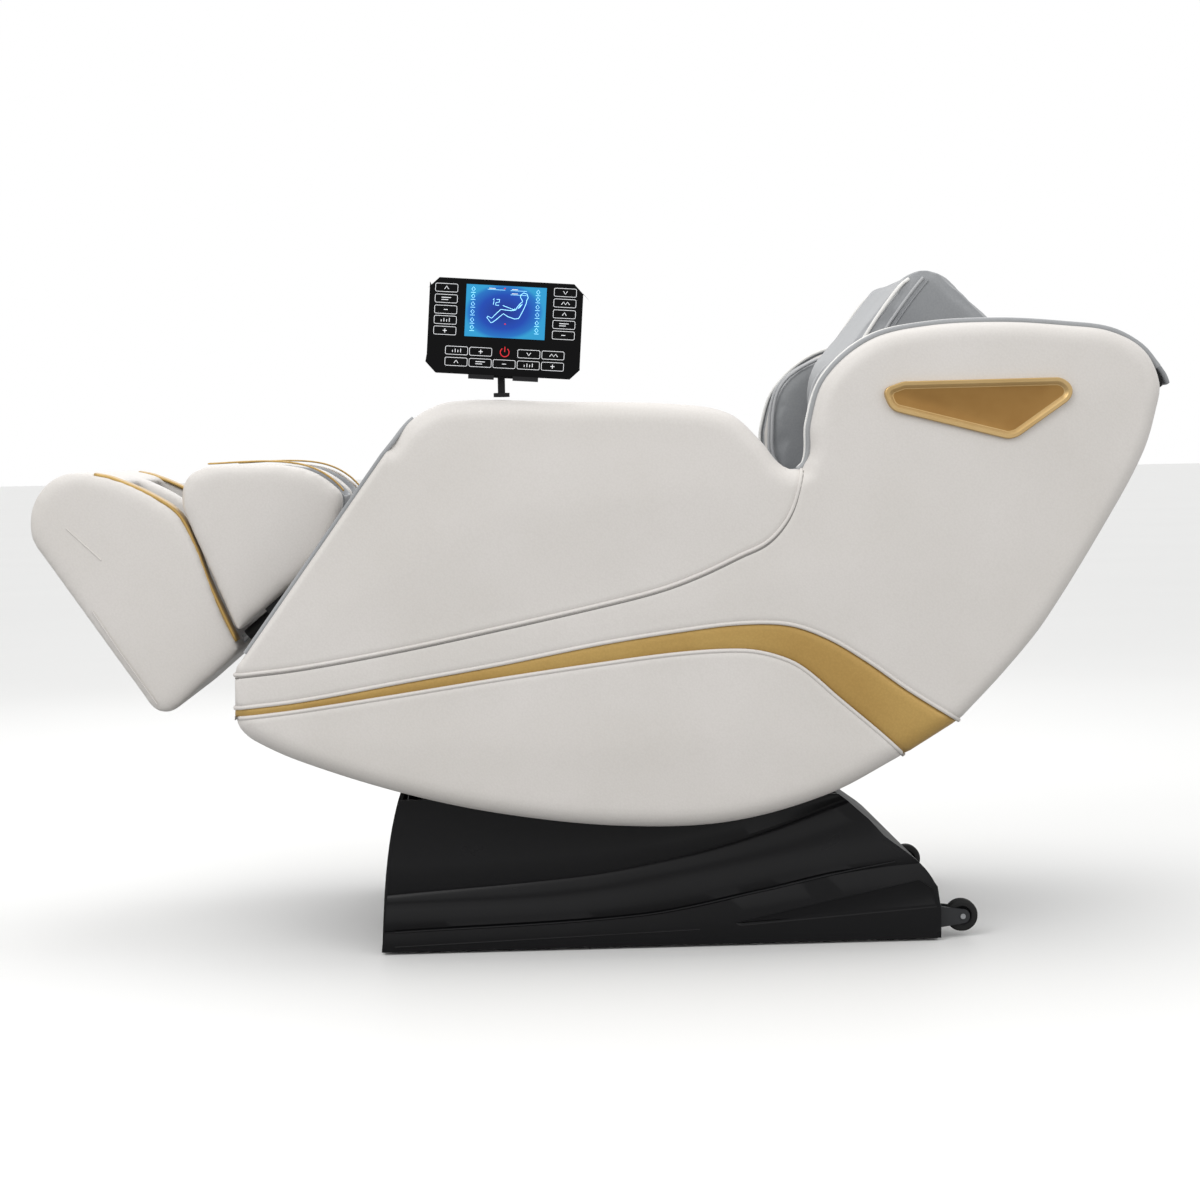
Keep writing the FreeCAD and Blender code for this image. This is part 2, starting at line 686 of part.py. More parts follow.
def transport_wheel(name, side):
    start, end = on_side(wheel_inner, wheel_outer, side)
    bore_radius = size("axle_radius") + size("pin_fit")
    return cut(name, pin(name + "_tyre", wheel_centre, size("wheel_radius"), start, end),
               pin(name + "_bore", wheel_centre, bore_radius, start - 5, end + 5))


keep("wheel_brackets", both("wheel_brackets_shape", wheel_bracket))
keep("wheel_axles", both("wheel_axles_shape", wheel_axle))
keep_pair("transport_wheel", transport_wheel)


# ---------------------------------------------------------------- linear actuators
def actuator(name, anchor, tip, bare_rod, rod_inside, motor_side):
    """Motor body with a bored tube on the anchor pin, and a rod whose eye goes round the tip pin."""
    line = Line(anchor, tip)
    eye_half = size("lug_half_gap") - 1
    barrel_r = size("actuator_radius")
    barrel_end = line.length - bare_rod
    knuckle = pin(name + "_knuckle", anchor, zero + 12, eye_half * -1, eye_half)
    neck_bar = block(name + "_neck", line, 4, 34, -9, 9, zero - 9, zero + 9)
    barrel = bar_along(name + "_barrel", line, 30, barrel_end, 0, zero, barrel_r)
    motor = bar_along(name + "_motor", line, 34, 130, 44 * motor_side, zero, zero + 20)
    gear_low, gear_high = sorted((-18 * motor_side, 62 * motor_side))
    gear_case = block(name + "_gear_case", line, 30, 62, gear_low, gear_high, zero - 20, zero + 20)
    bore_radius = size("rod_radius") + size("rod_fit")
    bore = bar_along(name + "_bore", line, 66, barrel_end + 10, 0, zero, bore_radius)
    anchor_radius = size("lug_pin_radius") + size("pin_fit")
    anchor_hole = pin(name + "_anchor_hole", anchor, anchor_radius, zero - 30, zero + 30)
    body = cut(name + "_body", fused(name + "_case", knuckle, neck_bar, barrel, motor, gear_case),
               bore, anchor_hole)
    rod_bar = bar_along(name + "_rod_bar", line, barrel_end - rod_inside, line.length - 14, 0, zero,
                        size("rod_radius"))
    eye = pin(name + "_eye", tip, size("eye_radius"), eye_half * -1, eye_half)
    eye_bore = size("lug_pin_radius") + size("open_pivot_gap")
    eye_hole = pin(name + "_eye_hole", tip, eye_bore, zero - 30, zero + 30)
    rod = cut(name + "_rod", fused(name + "_rod_weld", rod_bar, eye), eye_hole)
    return body, rod


# name: anchor pin, tip pin, rod outside and inside the barrel, side of the motor
actuators = {"tilt_actuator": (tilt_anchor, tilt_lug, 46, 114, -1),
             "leg_actuator": (leg_anchor, leg_lug, 94, 50, 1)}
for actuator_name, facts in actuators.items():
    motor_body, rod = actuator(actuator_name, *facts)
    keep(actuator_name + "_body", motor_body)
    keep(actuator_name + "_rod", rod)

# ---------------------------------------------------------------- massage carriage
carriage_low, carriage_high = 110, 270
shaft_along, shaft_above = 205, -120
shaft_centre = back.point(shaft_along, shaft_above)
bush_half = 18
plate_outer = size("guide_rail_offset") - bush_half
plate_inner = plate_outer - 6
carriage_rear = -190


def carriage_plate(name, side):
    start, end = (plate_inner, plate_outer) if side > 0 else (plate_outer * -1, plate_inner * -1)
    return block(name, back, carriage_low, carriage_high, carriage_rear, -85, start, end)


shaft_hole = pin("shaft_hole", shaft_centre, size("shaft_radius") + size("pin_fit"), plate_outer * -1 - 5,
                 plate_outer + 5)
carriage_bars = [block(f"carriage_bar{low}", back, low, low + 14, carriage_rear, carriage_rear + 26,
                       plate_inner * -1, plate_inner) for low in (carriage_low, carriage_high - 14)]
keep("carriage_frame", cut("carriage_frame_shape",
                           fused("carriage_weld", carriage_plate("carriage_plate_l", -1),
                                 carriage_plate("carriage_plate_r", 1), *carriage_bars), shaft_hole))


def guide_bush(name, side):
    pieces = []
    for low in (carriage_low + 6, carriage_high - 46):
        middle = size("guide_rail_offset") * side
        box = block(f"{name}_{low}", back, low, low + 40, rail_depth - bush_half, rail_depth + bush_half,
                    middle - bush_half, middle + bush_half)
        hole = bar_along(f"{name}_hole{low}", back, low - 5, low + 45, rail_depth, middle,
                         size("guide_rail_radius") + size("slide_fit"))
        pieces.append(cut(f"{name}_bored{low}", box, hole))
    return group(name, *pieces)


keep("guide_bushes", both("guide_bushes_shape", guide_bush))
keep("gearbox", fused("gearbox_shape",
                      block("gear_case", back, 165, 245, carriage_rear + 4, -130, zero - 45, zero + 45),
                      pin("kneading_motor", back.point(205, -163), zero + 23, plate_inner * -1, zero - 44),
                      pin("tapping_motor", back.point(205, -163), zero + 23, zero + 44, plate_inner)))
keep("kneading_shaft", pin("kneading_shaft_shape", shaft_centre, size("shaft_radius"),
                           plate_outer * -1 - 3, plate_outer + 3))

arm_inner, arm_outer = zero + 55, zero + 67
roller_inner = arm_outer + 2
roller_outer = roller_inner + size("roller_width")
roller_spots = {"upper": back.point(shaft_along + 52, -96), "lower": back.point(shaft_along - 52, -96)}


def massage_arm(name, side):
    hub = shaft_centre
    plates = []
    for word, spot in roller_spots.items():
        reach = Line(hub, spot)
        outline = (straight(reach.point(0, 15), reach.point(reach.length, 10))
                   + arc(reach.point(reach.length, 10), reach.point(reach.length + 10),
                         reach.point(reach.length, -10))
                   + straight(reach.point(reach.length, -10), reach.point(0, -15), reach.point(0, 15)))
        plates.append(plate(f"{name}_{word}_limb", outline, arm_inner, arm_outer, side))
        start, end = (arm_inner, roller_outer + 3) if side > 0 else (roller_outer * -1 - 3, arm_inner * -1)
        plates.append(pin(f"{name}_{word}_stub", spot, size("roller_axle_radius"), start, end))
    start, end = (arm_inner - 6, arm_outer) if side > 0 else (arm_outer * -1, arm_inner * -1 + 6)
    collar = pin(name + "_collar", hub, zero + 17, start, end)
    hole = pin(name + "_hub_hole", hub, size("shaft_radius") + size("pin_fit"), start - 5, end + 5)
    return cut(name, fused(name + "_weld", collar, *plates), hole)


keep_pair("massage_arm", massage_arm)

for word, spot in roller_spots.items():
    def roller(name, side, spot=spot):
        start, end = on_side(roller_inner, roller_outer, side)
        bore_radius = size("roller_axle_radius") + size("pin_fit")
        return cut(name, pin(name + "_ball", spot, size("roller_radius"), start, end),
                   pin(name + "_bore", spot, bore_radius, start - 5, end + 5))

    keep_pair(word + "_roller", roller)

# ---------------------------------------------------------------- leg rest: calf section
calf_base = float(size("slide_rod_radius")) + float(size("slide_tube_wall")) + 3
calf_front_low = slide.point(8, calf_base)
calf_rear_low = slide.point(188, calf_base)
calf_outline = (straight(at(-640, 684), calf_front_low, calf_rear_low, at(-391, 698))
                + smooth(at(-391, 698), *path((-421, 727), (-451, 743), (-489, 750), (-549, 751),
                                              (-602, 749), (-628, 738), (-641, 712), (-640, 684))))
channel_low = calf_base + float(size("channel_floor"))


def channel(name, low, extra, side):
    """The space of one leg, from a height above the slide line upwards."""
    start, end = channel_inner + extra, channel_outer - extra
    if side < 0:
        start, end = end * -1, start * -1
    return block(name, slide, -300, 400, low, low + 400, start, end)


calf_solid = centred("calf_solid", calf_outline, leg_half)
keep("calf_shell", cut("calf_shell_shape", calf_solid, channel("calf_channel_l", channel_low, 0, -1),
                       channel("calf_channel_r", channel_low, 0, 1)))
lining = float(size("lining_thickness"))


def calf_liner(name, side):
    filled = common(name + "_filled", centred(name + "_solid", calf_outline, leg_half),
                    channel(name + "_space", channel_low, 0, side))
    return cut(name, filled, channel(name + "_hollow", channel_low + lining, lining, side))


keep("calf_lining", both("calf_lining_shape", calf_liner))


def calf_edge(name, side):
    edge = path((-603, 752), (-549, 754), (-489, 753), (-451, 746), (-421, 731), (-396, 706))
    return plate(name, strip(edge, -3), channel_outer - 2, channel_outer + 12, side)


keep("calf_trim", both("calf_trim_shape", calf_edge))

tube_outer = size("slide_rod_radius") + size("slide_tube_wall")
slide_offset = frame_inner - size("slide_inset")
tube_low, tube_high = 6, 150
crossbar_place = slide.point(110, -16)
ear_inner, ear_outer = frame_inner - 22, frame_inner - 6
ear_reach = [slide.point(60, calf_base), slide.point(170, calf_base), slide.point(170, 2),
             (leg_hinge[0] + 19, leg_hinge[1] + 6), (leg_hinge[0], leg_hinge[1] - 20),
             (leg_hinge[0] - 18, leg_hinge[1] - 10), slide.point(90, -30), slide.point(60, -6)]


def leg_side(name, side):
    ear = plate(name + "_ear", polygon(*ear_reach), ear_inner, ear_outer, side)
    tube = bar_along(name + "_tube", slide, tube_low, tube_high, 0, slide_offset * side, tube_outer)
    return fused(name, ear, tube)


leg_lug_plates = lug_pair("leg_lug", crossbar_place, leg_lug, 11)
leg_weld = fused("leg_weld", leg_side("leg_side_l", -1), leg_side("leg_side_r", 1),
                 pin("leg_crossbar", crossbar_place, zero + 12, ear_inner * -1, ear_inner), *leg_lug_plates)
leg_holes = [bar_along(f"slide_bore{side + 1}", slide, tube_low - 10, tube_high + 10, 0,
                       slide_offset * side, size("slide_rod_radius") + size("slide_fit"))
             for side in (-1, 1)]
leg_holes.append(pin("leg_ear_bore", leg_hinge, size("leg_pin_radius") + size("pin_fit"),
                     ear_outer * -1 - 5, ear_outer + 5))
keep("leg_frame", cut("leg_frame_shape", leg_weld, *leg_holes))

# ---------------------------------------------------------------- leg rest: foot section
foot_edge = [(-564, 484), (-600, 569), (-621, 630), (-645, 678)]
foot_outline = (smooth(*path(*foot_edge))
                + smooth(*path((-645, 678), (-687, 708), (-746, 735), (-780, 743), (-822, 741), (-850, 723),
                               (-869, 690), (-873, 658), (-856, 620)))
                + straight(*path((-856, 620), (-704, 395)))
                + smooth(*path((-704, 395), (-690, 377), (-674, 371), (-660, 377)))
                + straight(*path((-660, 377), (-567, 456)))
                + smooth(*path((-567, 456), (-560, 467), (-564, 484))))
foot_space = path((-588, 493), (-540, 534), (-540, 800), (-700, 800), (-738, 716), (-795, 704), (-822, 655),
                  (-671, 422))


def foot_cavity(name, side):
    return plate(name, polygon(*foot_space), channel_inner, channel_outer, side)


rod_first, rod_last = -112, 140


def slide_rod(name, side, radius):
    return bar_along(name, slide, rod_first, rod_last, 0, slide_offset * side, radius)


rod_radius = size("slide_rod_radius")
foot_solid = centred("foot_solid", foot_outline, leg_half)
keep("foot_shell", cut("foot_shell_shape", foot_solid, foot_cavity("foot_cavity_l", -1),
                       foot_cavity("foot_cavity_r", 1), slide_rod("rod_hole_l", -1, rod_radius),
                       slide_rod("rod_hole_r", 1, rod_radius)))
keep("slide_rods", group("slide_rods_shape", slide_rod("slide_rod_l", -1, rod_radius),
                         slide_rod("slide_rod_r", 1, rod_radius)))


def foot_liner(name, side):
    path_points = path((-588, 493), (-671, 422), (-822, 655), (-795, 704), (-738, 716))
    inside = path((-601, 504), (-668, 446), (-803, 654), (-786, 688), (-746, 697))
    outline = straight(*path_points, *reversed(inside), path_points[0])
    return plate(name, outline, channel_inner, channel_outer, side)


keep("foot_lining", both("foot_lining_shape", foot_liner))


def foot_edge_trim(name, side):
    edge = path((-585, 510), (-612, 580), (-634, 634), (-655, 672), (-690, 697), (-730, 717))
    return plate(name, strip(edge, -9), channel_outer - 5, channel_outer, side)


keep("foot_trim", both("foot_trim_shape", foot_edge_trim))

# ---------------------------------------------------------------- control tablet
post_y = panel_inner + 16
tablet_centre = at(-142, 946)
post_x = at(-149, 0)[0]
arm_top = at(0, 845)[1]
tilt_axis_z = at(0, 900)[1]
roll = math.radians(-4)
face = Line(tablet_centre, (tablet_centre[0] + math.cos(roll), tablet_centre[1] + math.sin(roll)))
post_y_left = post_y * -1
post = upright("post_bar", post_x, post_y_left, arm_top, tilt_axis_z - 5, size("post_radius"))
collar = upright("post_collar", post_x, post_y_left, arm_top, arm_top + 6, zero + 12)
tilt_line = Line((post_x, tilt_axis_z), (post_x + 1, tilt_axis_z))
knuckle = bar_along("post_knuckle", tilt_line, -7, 7, 0, post_y_left, zero + 6.5)
knuckle_bore = bar_along("knuckle_bore", tilt_line, -20, 20, 0, post_y_left, zero + 3 + size("pin_fit"))
keep("tablet_post", cut("tablet_post_shape", fused("post_weld", post, collar, knuckle), knuckle_bore))

cradle_back = post_y_left - 8
cradle_front = cradle_back - 4
w, h = float(size("tablet_width")) / 2, float(size("tablet_height")) / 2
k = float(size("tablet_corner"))
tablet_outline = polygon(face.point(-w + k, h), face.point(w - k, h), face.point(w, h - k),
                         face.point(w, -h + k), face.point(w - k, -h), face.point(-w + k, -h),
                         face.point(-w, -h + k), face.point(-w, h - k))
tablet_rear = cradle_front
tablet_front = tablet_rear - size("tablet_thickness")
keep("tablet_housing", plate("tablet_housing_shape", tablet_outline, tablet_front, tablet_rear))
screen_w, screen_h = float(size("screen_width")) / 2, float(size("screen_height")) / 2
screen_mid = 24
screen_low, screen_high = screen_mid - screen_h, screen_mid + screen_h
screen_outline = polygon(face.point(-screen_w, screen_low), face.point(screen_w, screen_low),
                         face.point(screen_w, screen_high), face.point(-screen_w, screen_high))
keep("tablet_screen", plate("tablet_screen_shape", screen_outline, tablet_front - 1, tablet_front))
back_plate = plate("cradle_plate", polygon(face.point(-51, -h - 3), face.point(53, -h - 3),
                                           face.point(53, -h + 40), face.point(-51, -h + 40)),
                   cradle_front, cradle_back)
jaw_width = 38
jaws = []
for i, a in enumerate((-51, 15)):
    jaw_outline = polygon(face.point(a, -h - 6), face.point(a + jaw_width, -h - 6),
                          face.point(a + jaw_width, -h), face.point(a, -h))
    jaws.append(plate(f"jaw{i}", jaw_outline, tablet_front - 3, cradle_back))
ear_width = 4
ears = [block(f"cradle_ear{i}", level, post_x + first, post_x + first + ear_width, tilt_axis_z - 7,
              tilt_axis_z + 7, cradle_back, post_y_left + 6) for i, first in enumerate((-11.5, 7.5))]
tilt_bar = bar_along("cradle_pin", tilt_line, -12, 12, 0, post_y_left, zero + 3)
keep("tablet_cradle", fused("tablet_cradle_shape", back_plate, *jaws, *ears, tilt_bar))

# ---------------------------------------------------------------- check and export
doc.recompute()
faults = [f"{item.Label} is {item.State}" for item in doc.Objects
          if any(word in item.State for word in ("Invalid", "Error"))]
for name, item in nodes.items():
    shape = item.Shape
    if shape.isNull() or not shape.isValid() or shape.Volume <= 0 or not shape.Solids:
        faults.append(f"{name} has no sound solid")
if faults:
    raise RuntimeError("; ".join(faults))
os.makedirs("parts", exist_ok=True)
for name, item in nodes.items():
    item.Shape.exportStep(f"parts/{name}.step")
whole = Part.makeCompound([item.Shape for item in nodes.values()]).BoundBox
print(f"{len(nodes)} nodes, {whole.XLength:.0f} x {whole.YLength:.0f} x {whole.ZLength:.0f} mm")
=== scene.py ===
# Massage chair: upholstery, trims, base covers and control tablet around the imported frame.
# Metres, +X to the head end, the sitter faces -X, the sitter's left side is -Y.
import json
import math

import bmesh
import bpy
import numpy as np
from mathutils import Matrix, Vector, geometry

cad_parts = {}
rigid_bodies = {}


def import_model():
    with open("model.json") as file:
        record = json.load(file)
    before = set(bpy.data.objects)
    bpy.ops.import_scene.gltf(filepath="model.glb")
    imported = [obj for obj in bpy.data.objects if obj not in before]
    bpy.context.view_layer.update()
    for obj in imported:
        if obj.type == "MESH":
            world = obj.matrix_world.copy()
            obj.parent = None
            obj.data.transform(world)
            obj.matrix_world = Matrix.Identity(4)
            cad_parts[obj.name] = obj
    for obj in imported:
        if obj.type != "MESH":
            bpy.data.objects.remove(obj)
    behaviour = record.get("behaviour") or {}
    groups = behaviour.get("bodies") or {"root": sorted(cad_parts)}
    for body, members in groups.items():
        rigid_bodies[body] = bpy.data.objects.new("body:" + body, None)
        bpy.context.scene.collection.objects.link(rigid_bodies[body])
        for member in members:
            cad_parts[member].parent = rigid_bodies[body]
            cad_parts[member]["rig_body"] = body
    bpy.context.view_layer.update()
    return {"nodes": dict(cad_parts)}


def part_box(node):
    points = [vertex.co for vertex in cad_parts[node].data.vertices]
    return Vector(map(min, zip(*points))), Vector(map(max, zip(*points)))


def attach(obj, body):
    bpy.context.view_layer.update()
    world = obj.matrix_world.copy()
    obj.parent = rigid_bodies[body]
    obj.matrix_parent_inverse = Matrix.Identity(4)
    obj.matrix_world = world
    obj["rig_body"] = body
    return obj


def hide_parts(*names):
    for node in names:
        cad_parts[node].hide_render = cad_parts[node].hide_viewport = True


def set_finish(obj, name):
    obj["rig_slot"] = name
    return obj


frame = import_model()
cadNodes = frame["nodes"]
scene = bpy.context.scene
print("frame loaded:", len(cadNodes), "nodes")


# ---- materials

def linear(hexColour):
    parts = [int(hexColour[i:i + 2], 16) / 255 for i in (1, 3, 5)]
    return tuple(p / 12.92 if p <= 0.04045 else ((p + 0.055) / 1.055) ** 2.4 for p in parts) + (1.0,)


def addNode(tree, kind, settings, links=None):
    node = tree.nodes.new(kind)
    for key, value in settings.items():
        if isinstance(key, int) or key in node.inputs:
            node.inputs[key].default_value = value
        else:
            setattr(node, key, value)
    for key, source in (links or {}).items():
        tree.links.new(source, node.inputs[key])
    return node


def newMaterial(name, sockets):
    material = bpy.data.materials.new(name)
    material.use_nodes = True
    tree = material.node_tree
    shader = tree.nodes["Principled BSDF"]
    for key, value in sockets.items():
        shader.inputs[key].default_value = value
    place = addNode(tree, "ShaderNodeTexCoord", {}).outputs["Object"]
    return material, tree, shader, place


def wire(tree, shader, colour, gloss, bump):
    tree.links.new(colour.outputs[2], shader.inputs["Base Color"])
    tree.links.new(gloss.outputs["Result"], shader.inputs["Roughness"])
    tree.links.new(bump.outputs["Normal"], shader.inputs["Normal"])


def leather(name, light, dark, crease, grain, roughness, metallic=0.0):
    # polyurethane leather on foam: pressed pebble grain, soft drift of tone, a dull sheen
    material, tree, shader, place = newMaterial(name, {
        "Metallic": metallic, "Sheen Weight": 0.12, "Sheen Roughness": 0.45, "Specular IOR Level": 0.42})
    # real grain is under 1 mm, so it is drawn a little coarser to show at all
    pebbles = addNode(tree, "ShaderNodeTexVoronoi",
                      {"feature": "SMOOTH_F1", "Scale": 1 / grain, "Smoothness": 0.6}, {"Vector": place})
    pores = addNode(tree, "ShaderNodeTexNoise", {"Scale": 2.4 / grain, "Detail": 3.0}, {"Vector": place})
    drift = addNode(tree, "ShaderNodeTexNoise", {"Scale": 5.0, "Detail": 3.0, "Roughness": 0.55},
                    {"Vector": place})
    tone = addNode(tree, "ShaderNodeMapRange", {"From Min": 0.3, "From Max": 0.7},
                   {"Value": drift.outputs["Fac"]})
    cloth = addNode(tree, "ShaderNodeMix", {"data_type": "RGBA", 6: linear(light), 7: linear(dark)},
                    {0: tone.outputs["Result"]})
    dip = addNode(tree, "ShaderNodeMapRange", {"From Min": 0.1, "From Max": 0.75, "To Max": 0.12},
                  {"Value": pebbles.outputs["Distance"]})
    skin = addNode(tree, "ShaderNodeMix", {"data_type": "RGBA", 7: linear(crease)},
                   {0: dip.outputs["Result"], 6: cloth.outputs[2]})
    gloss = addNode(tree, "ShaderNodeMapRange", {"To Min": roughness - 0.06, "To Max": roughness + 0.08},
                    {"Value": pores.outputs["Fac"]})
    grainBump = addNode(tree, "ShaderNodeBump", {"Strength": 0.16, "Distance": 0.0004, "invert": True},
                        {"Height": pebbles.outputs["Distance"]})
    fineBump = addNode(tree, "ShaderNodeBump", {"Strength": 0.1, "Distance": 0.0003},
                       {"Height": pores.outputs["Fac"], "Normal": grainBump.outputs["Normal"]})
    wire(tree, shader, skin, gloss, fineBump)
    return material


def moulded(name, light, dark, roughness, wear, spark, bump, specular=0.4, coat=0.0):
    # injection-moulded plastic: even colour, faint flow marks, and a fine spark or orange-peel skin
    material, tree, shader, place = newMaterial(name, {
        "Specular IOR Level": specular, "Coat Weight": coat, "Coat Roughness": 0.1})
    streaks = addNode(tree, "ShaderNodeTexNoise", {"Scale": 9.0, "Detail": 4.0, "Distortion": 0.6},
                      {"Vector": place})
    skin = addNode(tree, "ShaderNodeTexNoise", {"Scale": 1 / spark, "Detail": 2.0}, {"Vector": place})
    shade = addNode(tree, "ShaderNodeMix", {"data_type": "RGBA", 6: linear(light), 7: linear(dark)},
                    {0: streaks.outputs["Fac"]})
    gloss = addNode(tree, "ShaderNodeMapRange",
                    {"From Min": 0.3, "From Max": 0.7, "To Min": roughness, "To Max": roughness + wear},
                    {"Value": streaks.outputs["Fac"]})
    peel = addNode(tree, "ShaderNodeBump", {"Strength": bump, "Distance": 0.0003},
                   {"Height": skin.outputs["Fac"]})
    wire(tree, shader, shade, gloss, peel)
    return material


def metalFinish(name, light, dark, metallic, roughness, mark, bump, stretch=1.0):
    # plated, ground or powder-coated: scratches drawn out across the chair, or a fine orange peel
    material, tree, shader, place = newMaterial(name, {"Metallic": metallic})
    drawn = addNode(tree, "ShaderNodeMapping", {"Scale": (1.0, stretch, 1.0)}, {"Vector": place})
    marks = addNode(tree, "ShaderNodeTexNoise", {"Scale": 1 / mark, "Detail": 4.0},
                    {"Vector": drawn.outputs["Vector"]})
    stain = addNode(tree, "ShaderNodeTexNoise", {"Scale": 14.0, "Detail": 3.0}, {"Vector": place})
    shade = addNode(tree, "ShaderNodeMix", {"data_type": "RGBA", 6: linear(light), 7: linear(dark)},
                    {0: stain.outputs["Fac"]})
    gloss = addNode(tree, "ShaderNodeMapRange", {"To Min": roughness - 0.06, "To Max": roughness + 0.12},
                    {"Value": marks.outputs["Fac"]})
    peel = addNode(tree, "ShaderNodeBump", {"Strength": bump, "Distance": 0.0002},
                   {"Height": marks.outputs["Fac"]})
    wire(tree, shader, shade, gloss, peel)
    return material


def litPanel(name):
    # lit liquid-crystal display behind glass: deep blue middle, bright cyan rim
    material, tree, shader, place = newMaterial(name, {"Roughness": 0.15, "Emission Strength": 0.8,
                                                       "Specular IOR Level": 0.3, "Base Color": linear("#04081C")})
    middle, spread = (-0.1428, 0.970), (17, 24)   # of the display: its middle, and one over its reach, along X and Z
    centre = addNode(tree, "ShaderNodeMapping", {
        "Location": (-middle[0] * spread[0], 0, -middle[1] * spread[1]), "Scale": (spread[0], 0, spread[1])},
        {"Vector": place})
    glow = addNode(tree, "ShaderNodeTexGradient", {"gradient_type": "SPHERICAL"},
                   {"Vector": centre.outputs["Vector"]})
    ramp = addNode(tree, "ShaderNodeValToRGB", {}, {"Fac": glow.outputs["Fac"]})
    for position, colour in ((0.0, "#2FB2EC"), (0.12, "#1A80DC"), (0.4, "#0E50C8")):
        stop = ramp.color_ramp.elements[0] if position == 0 else ramp.color_ramp.elements.new(position)
        stop.color = linear(colour)
    ramp.color_ramp.elements[-1].color = linear("#0B2C94")
    lines = addNode(tree, "ShaderNodeTexWave", {"wave_type": "BANDS", "bands_direction": "Z", "Scale": 320.0},
                    {"Vector": place})
    scan = addNode(tree, "ShaderNodeMapRange", {"To Min": 0.0, "To Max": 0.12}, {"Value": lines.outputs["Fac"]})
    dim = addNode(tree, "ShaderNodeMix", {"data_type": "RGBA", 7: linear("#04103C")},
                  {0: scan.outputs["Result"], 6: ramp.outputs["Color"]})
    tree.links.new(dim.outputs[2], shader.inputs["Emission Color"])
    return material


def printedInk(name, colour, glow):
    # screen-printed ink, or a lit segment: thin, flat, a little uneven; the glow given to printed ink is painted
    # light
    material, tree, shader, place = newMaterial(name, {"Roughness": 0.4, "Emission Color": linear(colour),
                                                       "Emission Strength": glow})
    speckle = addNode(tree, "ShaderNodeTexNoise", {"Scale": 900.0, "Detail": 2.0}, {"Vector": place})
    fade = addNode(tree, "ShaderNodeHueSaturation", {"Color": linear(colour)})
    level = addNode(tree, "ShaderNodeMapRange", {"To Min": 0.85, "To Max": 1.05}, {"Value": speckle.outputs["Fac"]})
    tree.links.new(level.outputs["Result"], fade.inputs["Value"])
    tree.links.new(fade.outputs["Color"], shader.inputs["Base Color"])
    return material


finish = {
    "ivoryLeather": leather(
        "ivory PU leather", light="#DAD6D2", dark="#D4D0CB", crease="#B2ACA5", grain=0.0030, roughness=0.46),
    "greyLeather": leather(
        "grey PU leather", light="#97999B", dark="#8A8C8F", crease="#55575A", grain=0.0030, roughness=0.44),
    "greyPiping": leather(
        "mid grey PU piping", light="#A2A4A6", dark="#949698", crease="#6C6E70", grain=0.0024, roughness=0.4),
    "silverPiping": leather(
        "pale grey PU piping", light="#B9BABB", dark="#AAABAD", crease="#77797C", grain=0.0024, roughness=0.36),
    "whitePiping": leather(
        "white PU piping", light="#F4F3F0", dark="#E9E7E3", crease="#BDB9B2", grain=0.0024, roughness=0.34),
    "goldLeather": leather(
        "gold PU leather", light="#C4A25E", dark="#B69250", crease="#7A5E2E", grain=0.0034, roughness=0.38,
        metallic=0.3),
    "goldPlating": metalFinish(
        "gold vacuum-plated ABS", light="#D2B684", dark="#BE9C64", metallic=0.75, roughness=0.34, mark=0.004,
        bump=0.04),
    "goldField": metalFinish(
        "gold vacuum-plated ABS, darker field", light="#B58E52", dark="#8E6632", metallic=0.7, roughness=0.3,
        mark=0.004, bump=0.04),
    # dark grey leather for the thin tube under the arm seam welt: a painted shadow
    "seamPaintedShadow": leather(
        "painted seam shadow", light="#8A8783", dark="#7B7875", crease="#4A4846", grain=0.0024, roughness=0.6),
    "blackGlass": moulded(
        "black ABS front, lacquered", light="#0A0A0B", dark="#070708", roughness=0.22, wear=0.05, spark=0.004,
        bump=0.02, specular=0.1),
    "blackGloss": moulded(
        "black ABS, polished mould", light="#141416", dark="#0D0D0E", roughness=0.27, wear=0.08, spark=0.006,
        bump=0.03, specular=0.2, coat=0.05),
    "blackSatin": moulded(
        "black ABS, fine spark", light="#1C1C1E", dark="#141415", roughness=0.48, wear=0.1, spark=0.0012,
        bump=0.2, specular=0.25),
    "greyMoulding": moulded(
        "grey ABS, spark eroded", light="#8C8F92", dark="#7E8184", roughness=0.5, wear=0.1, spark=0.0014,
        bump=0.25),
    "nylon": moulded(
        "natural nylon, turned", light="#E4E0D2", dark="#D5D0C0", roughness=0.44, wear=0.1, spark=0.0016,
        bump=0.15),
    "rollerSkin": moulded(
        "amber polyurethane, cast", light="#8A4A22", dark="#6F3A1A", roughness=0.38, wear=0.12, spark=0.002,
        bump=0.15),
    "footRubber": moulded(
        "black rubber, pressed", light="#1E1E1E", dark="#151515", roughness=0.72, wear=0.1, spark=0.0012,
        bump=0.4),
    "powderCoat": metalFinish(
        "steel, black powder coat", light="#26272A", dark="#1C1D1F", metallic=0.0, roughness=0.42, mark=0.0016,
        bump=0.22),
    "groundSteel": metalFinish(
        "steel, ground bright", light="#BEC0C2", dark="#A3A5A8", metallic=1.0, roughness=0.28, mark=0.02,
        bump=0.12, stretch=14.0),
    "litScreen": litPanel("lit display glass"),
    # white and red ink glow a little: on the tablet's printed marks that glow is painted light, on the display it
    # stands for lit strokes
    "whiteInk": printedInk("white printed ink", "#F2F4F6", 0.15),
    "skyInk": printedInk("lit cyan segments", "#9BE4FF", 0.9),
    "redInk": printedInk("red printed ink", "#D2202C", 0.35),
}
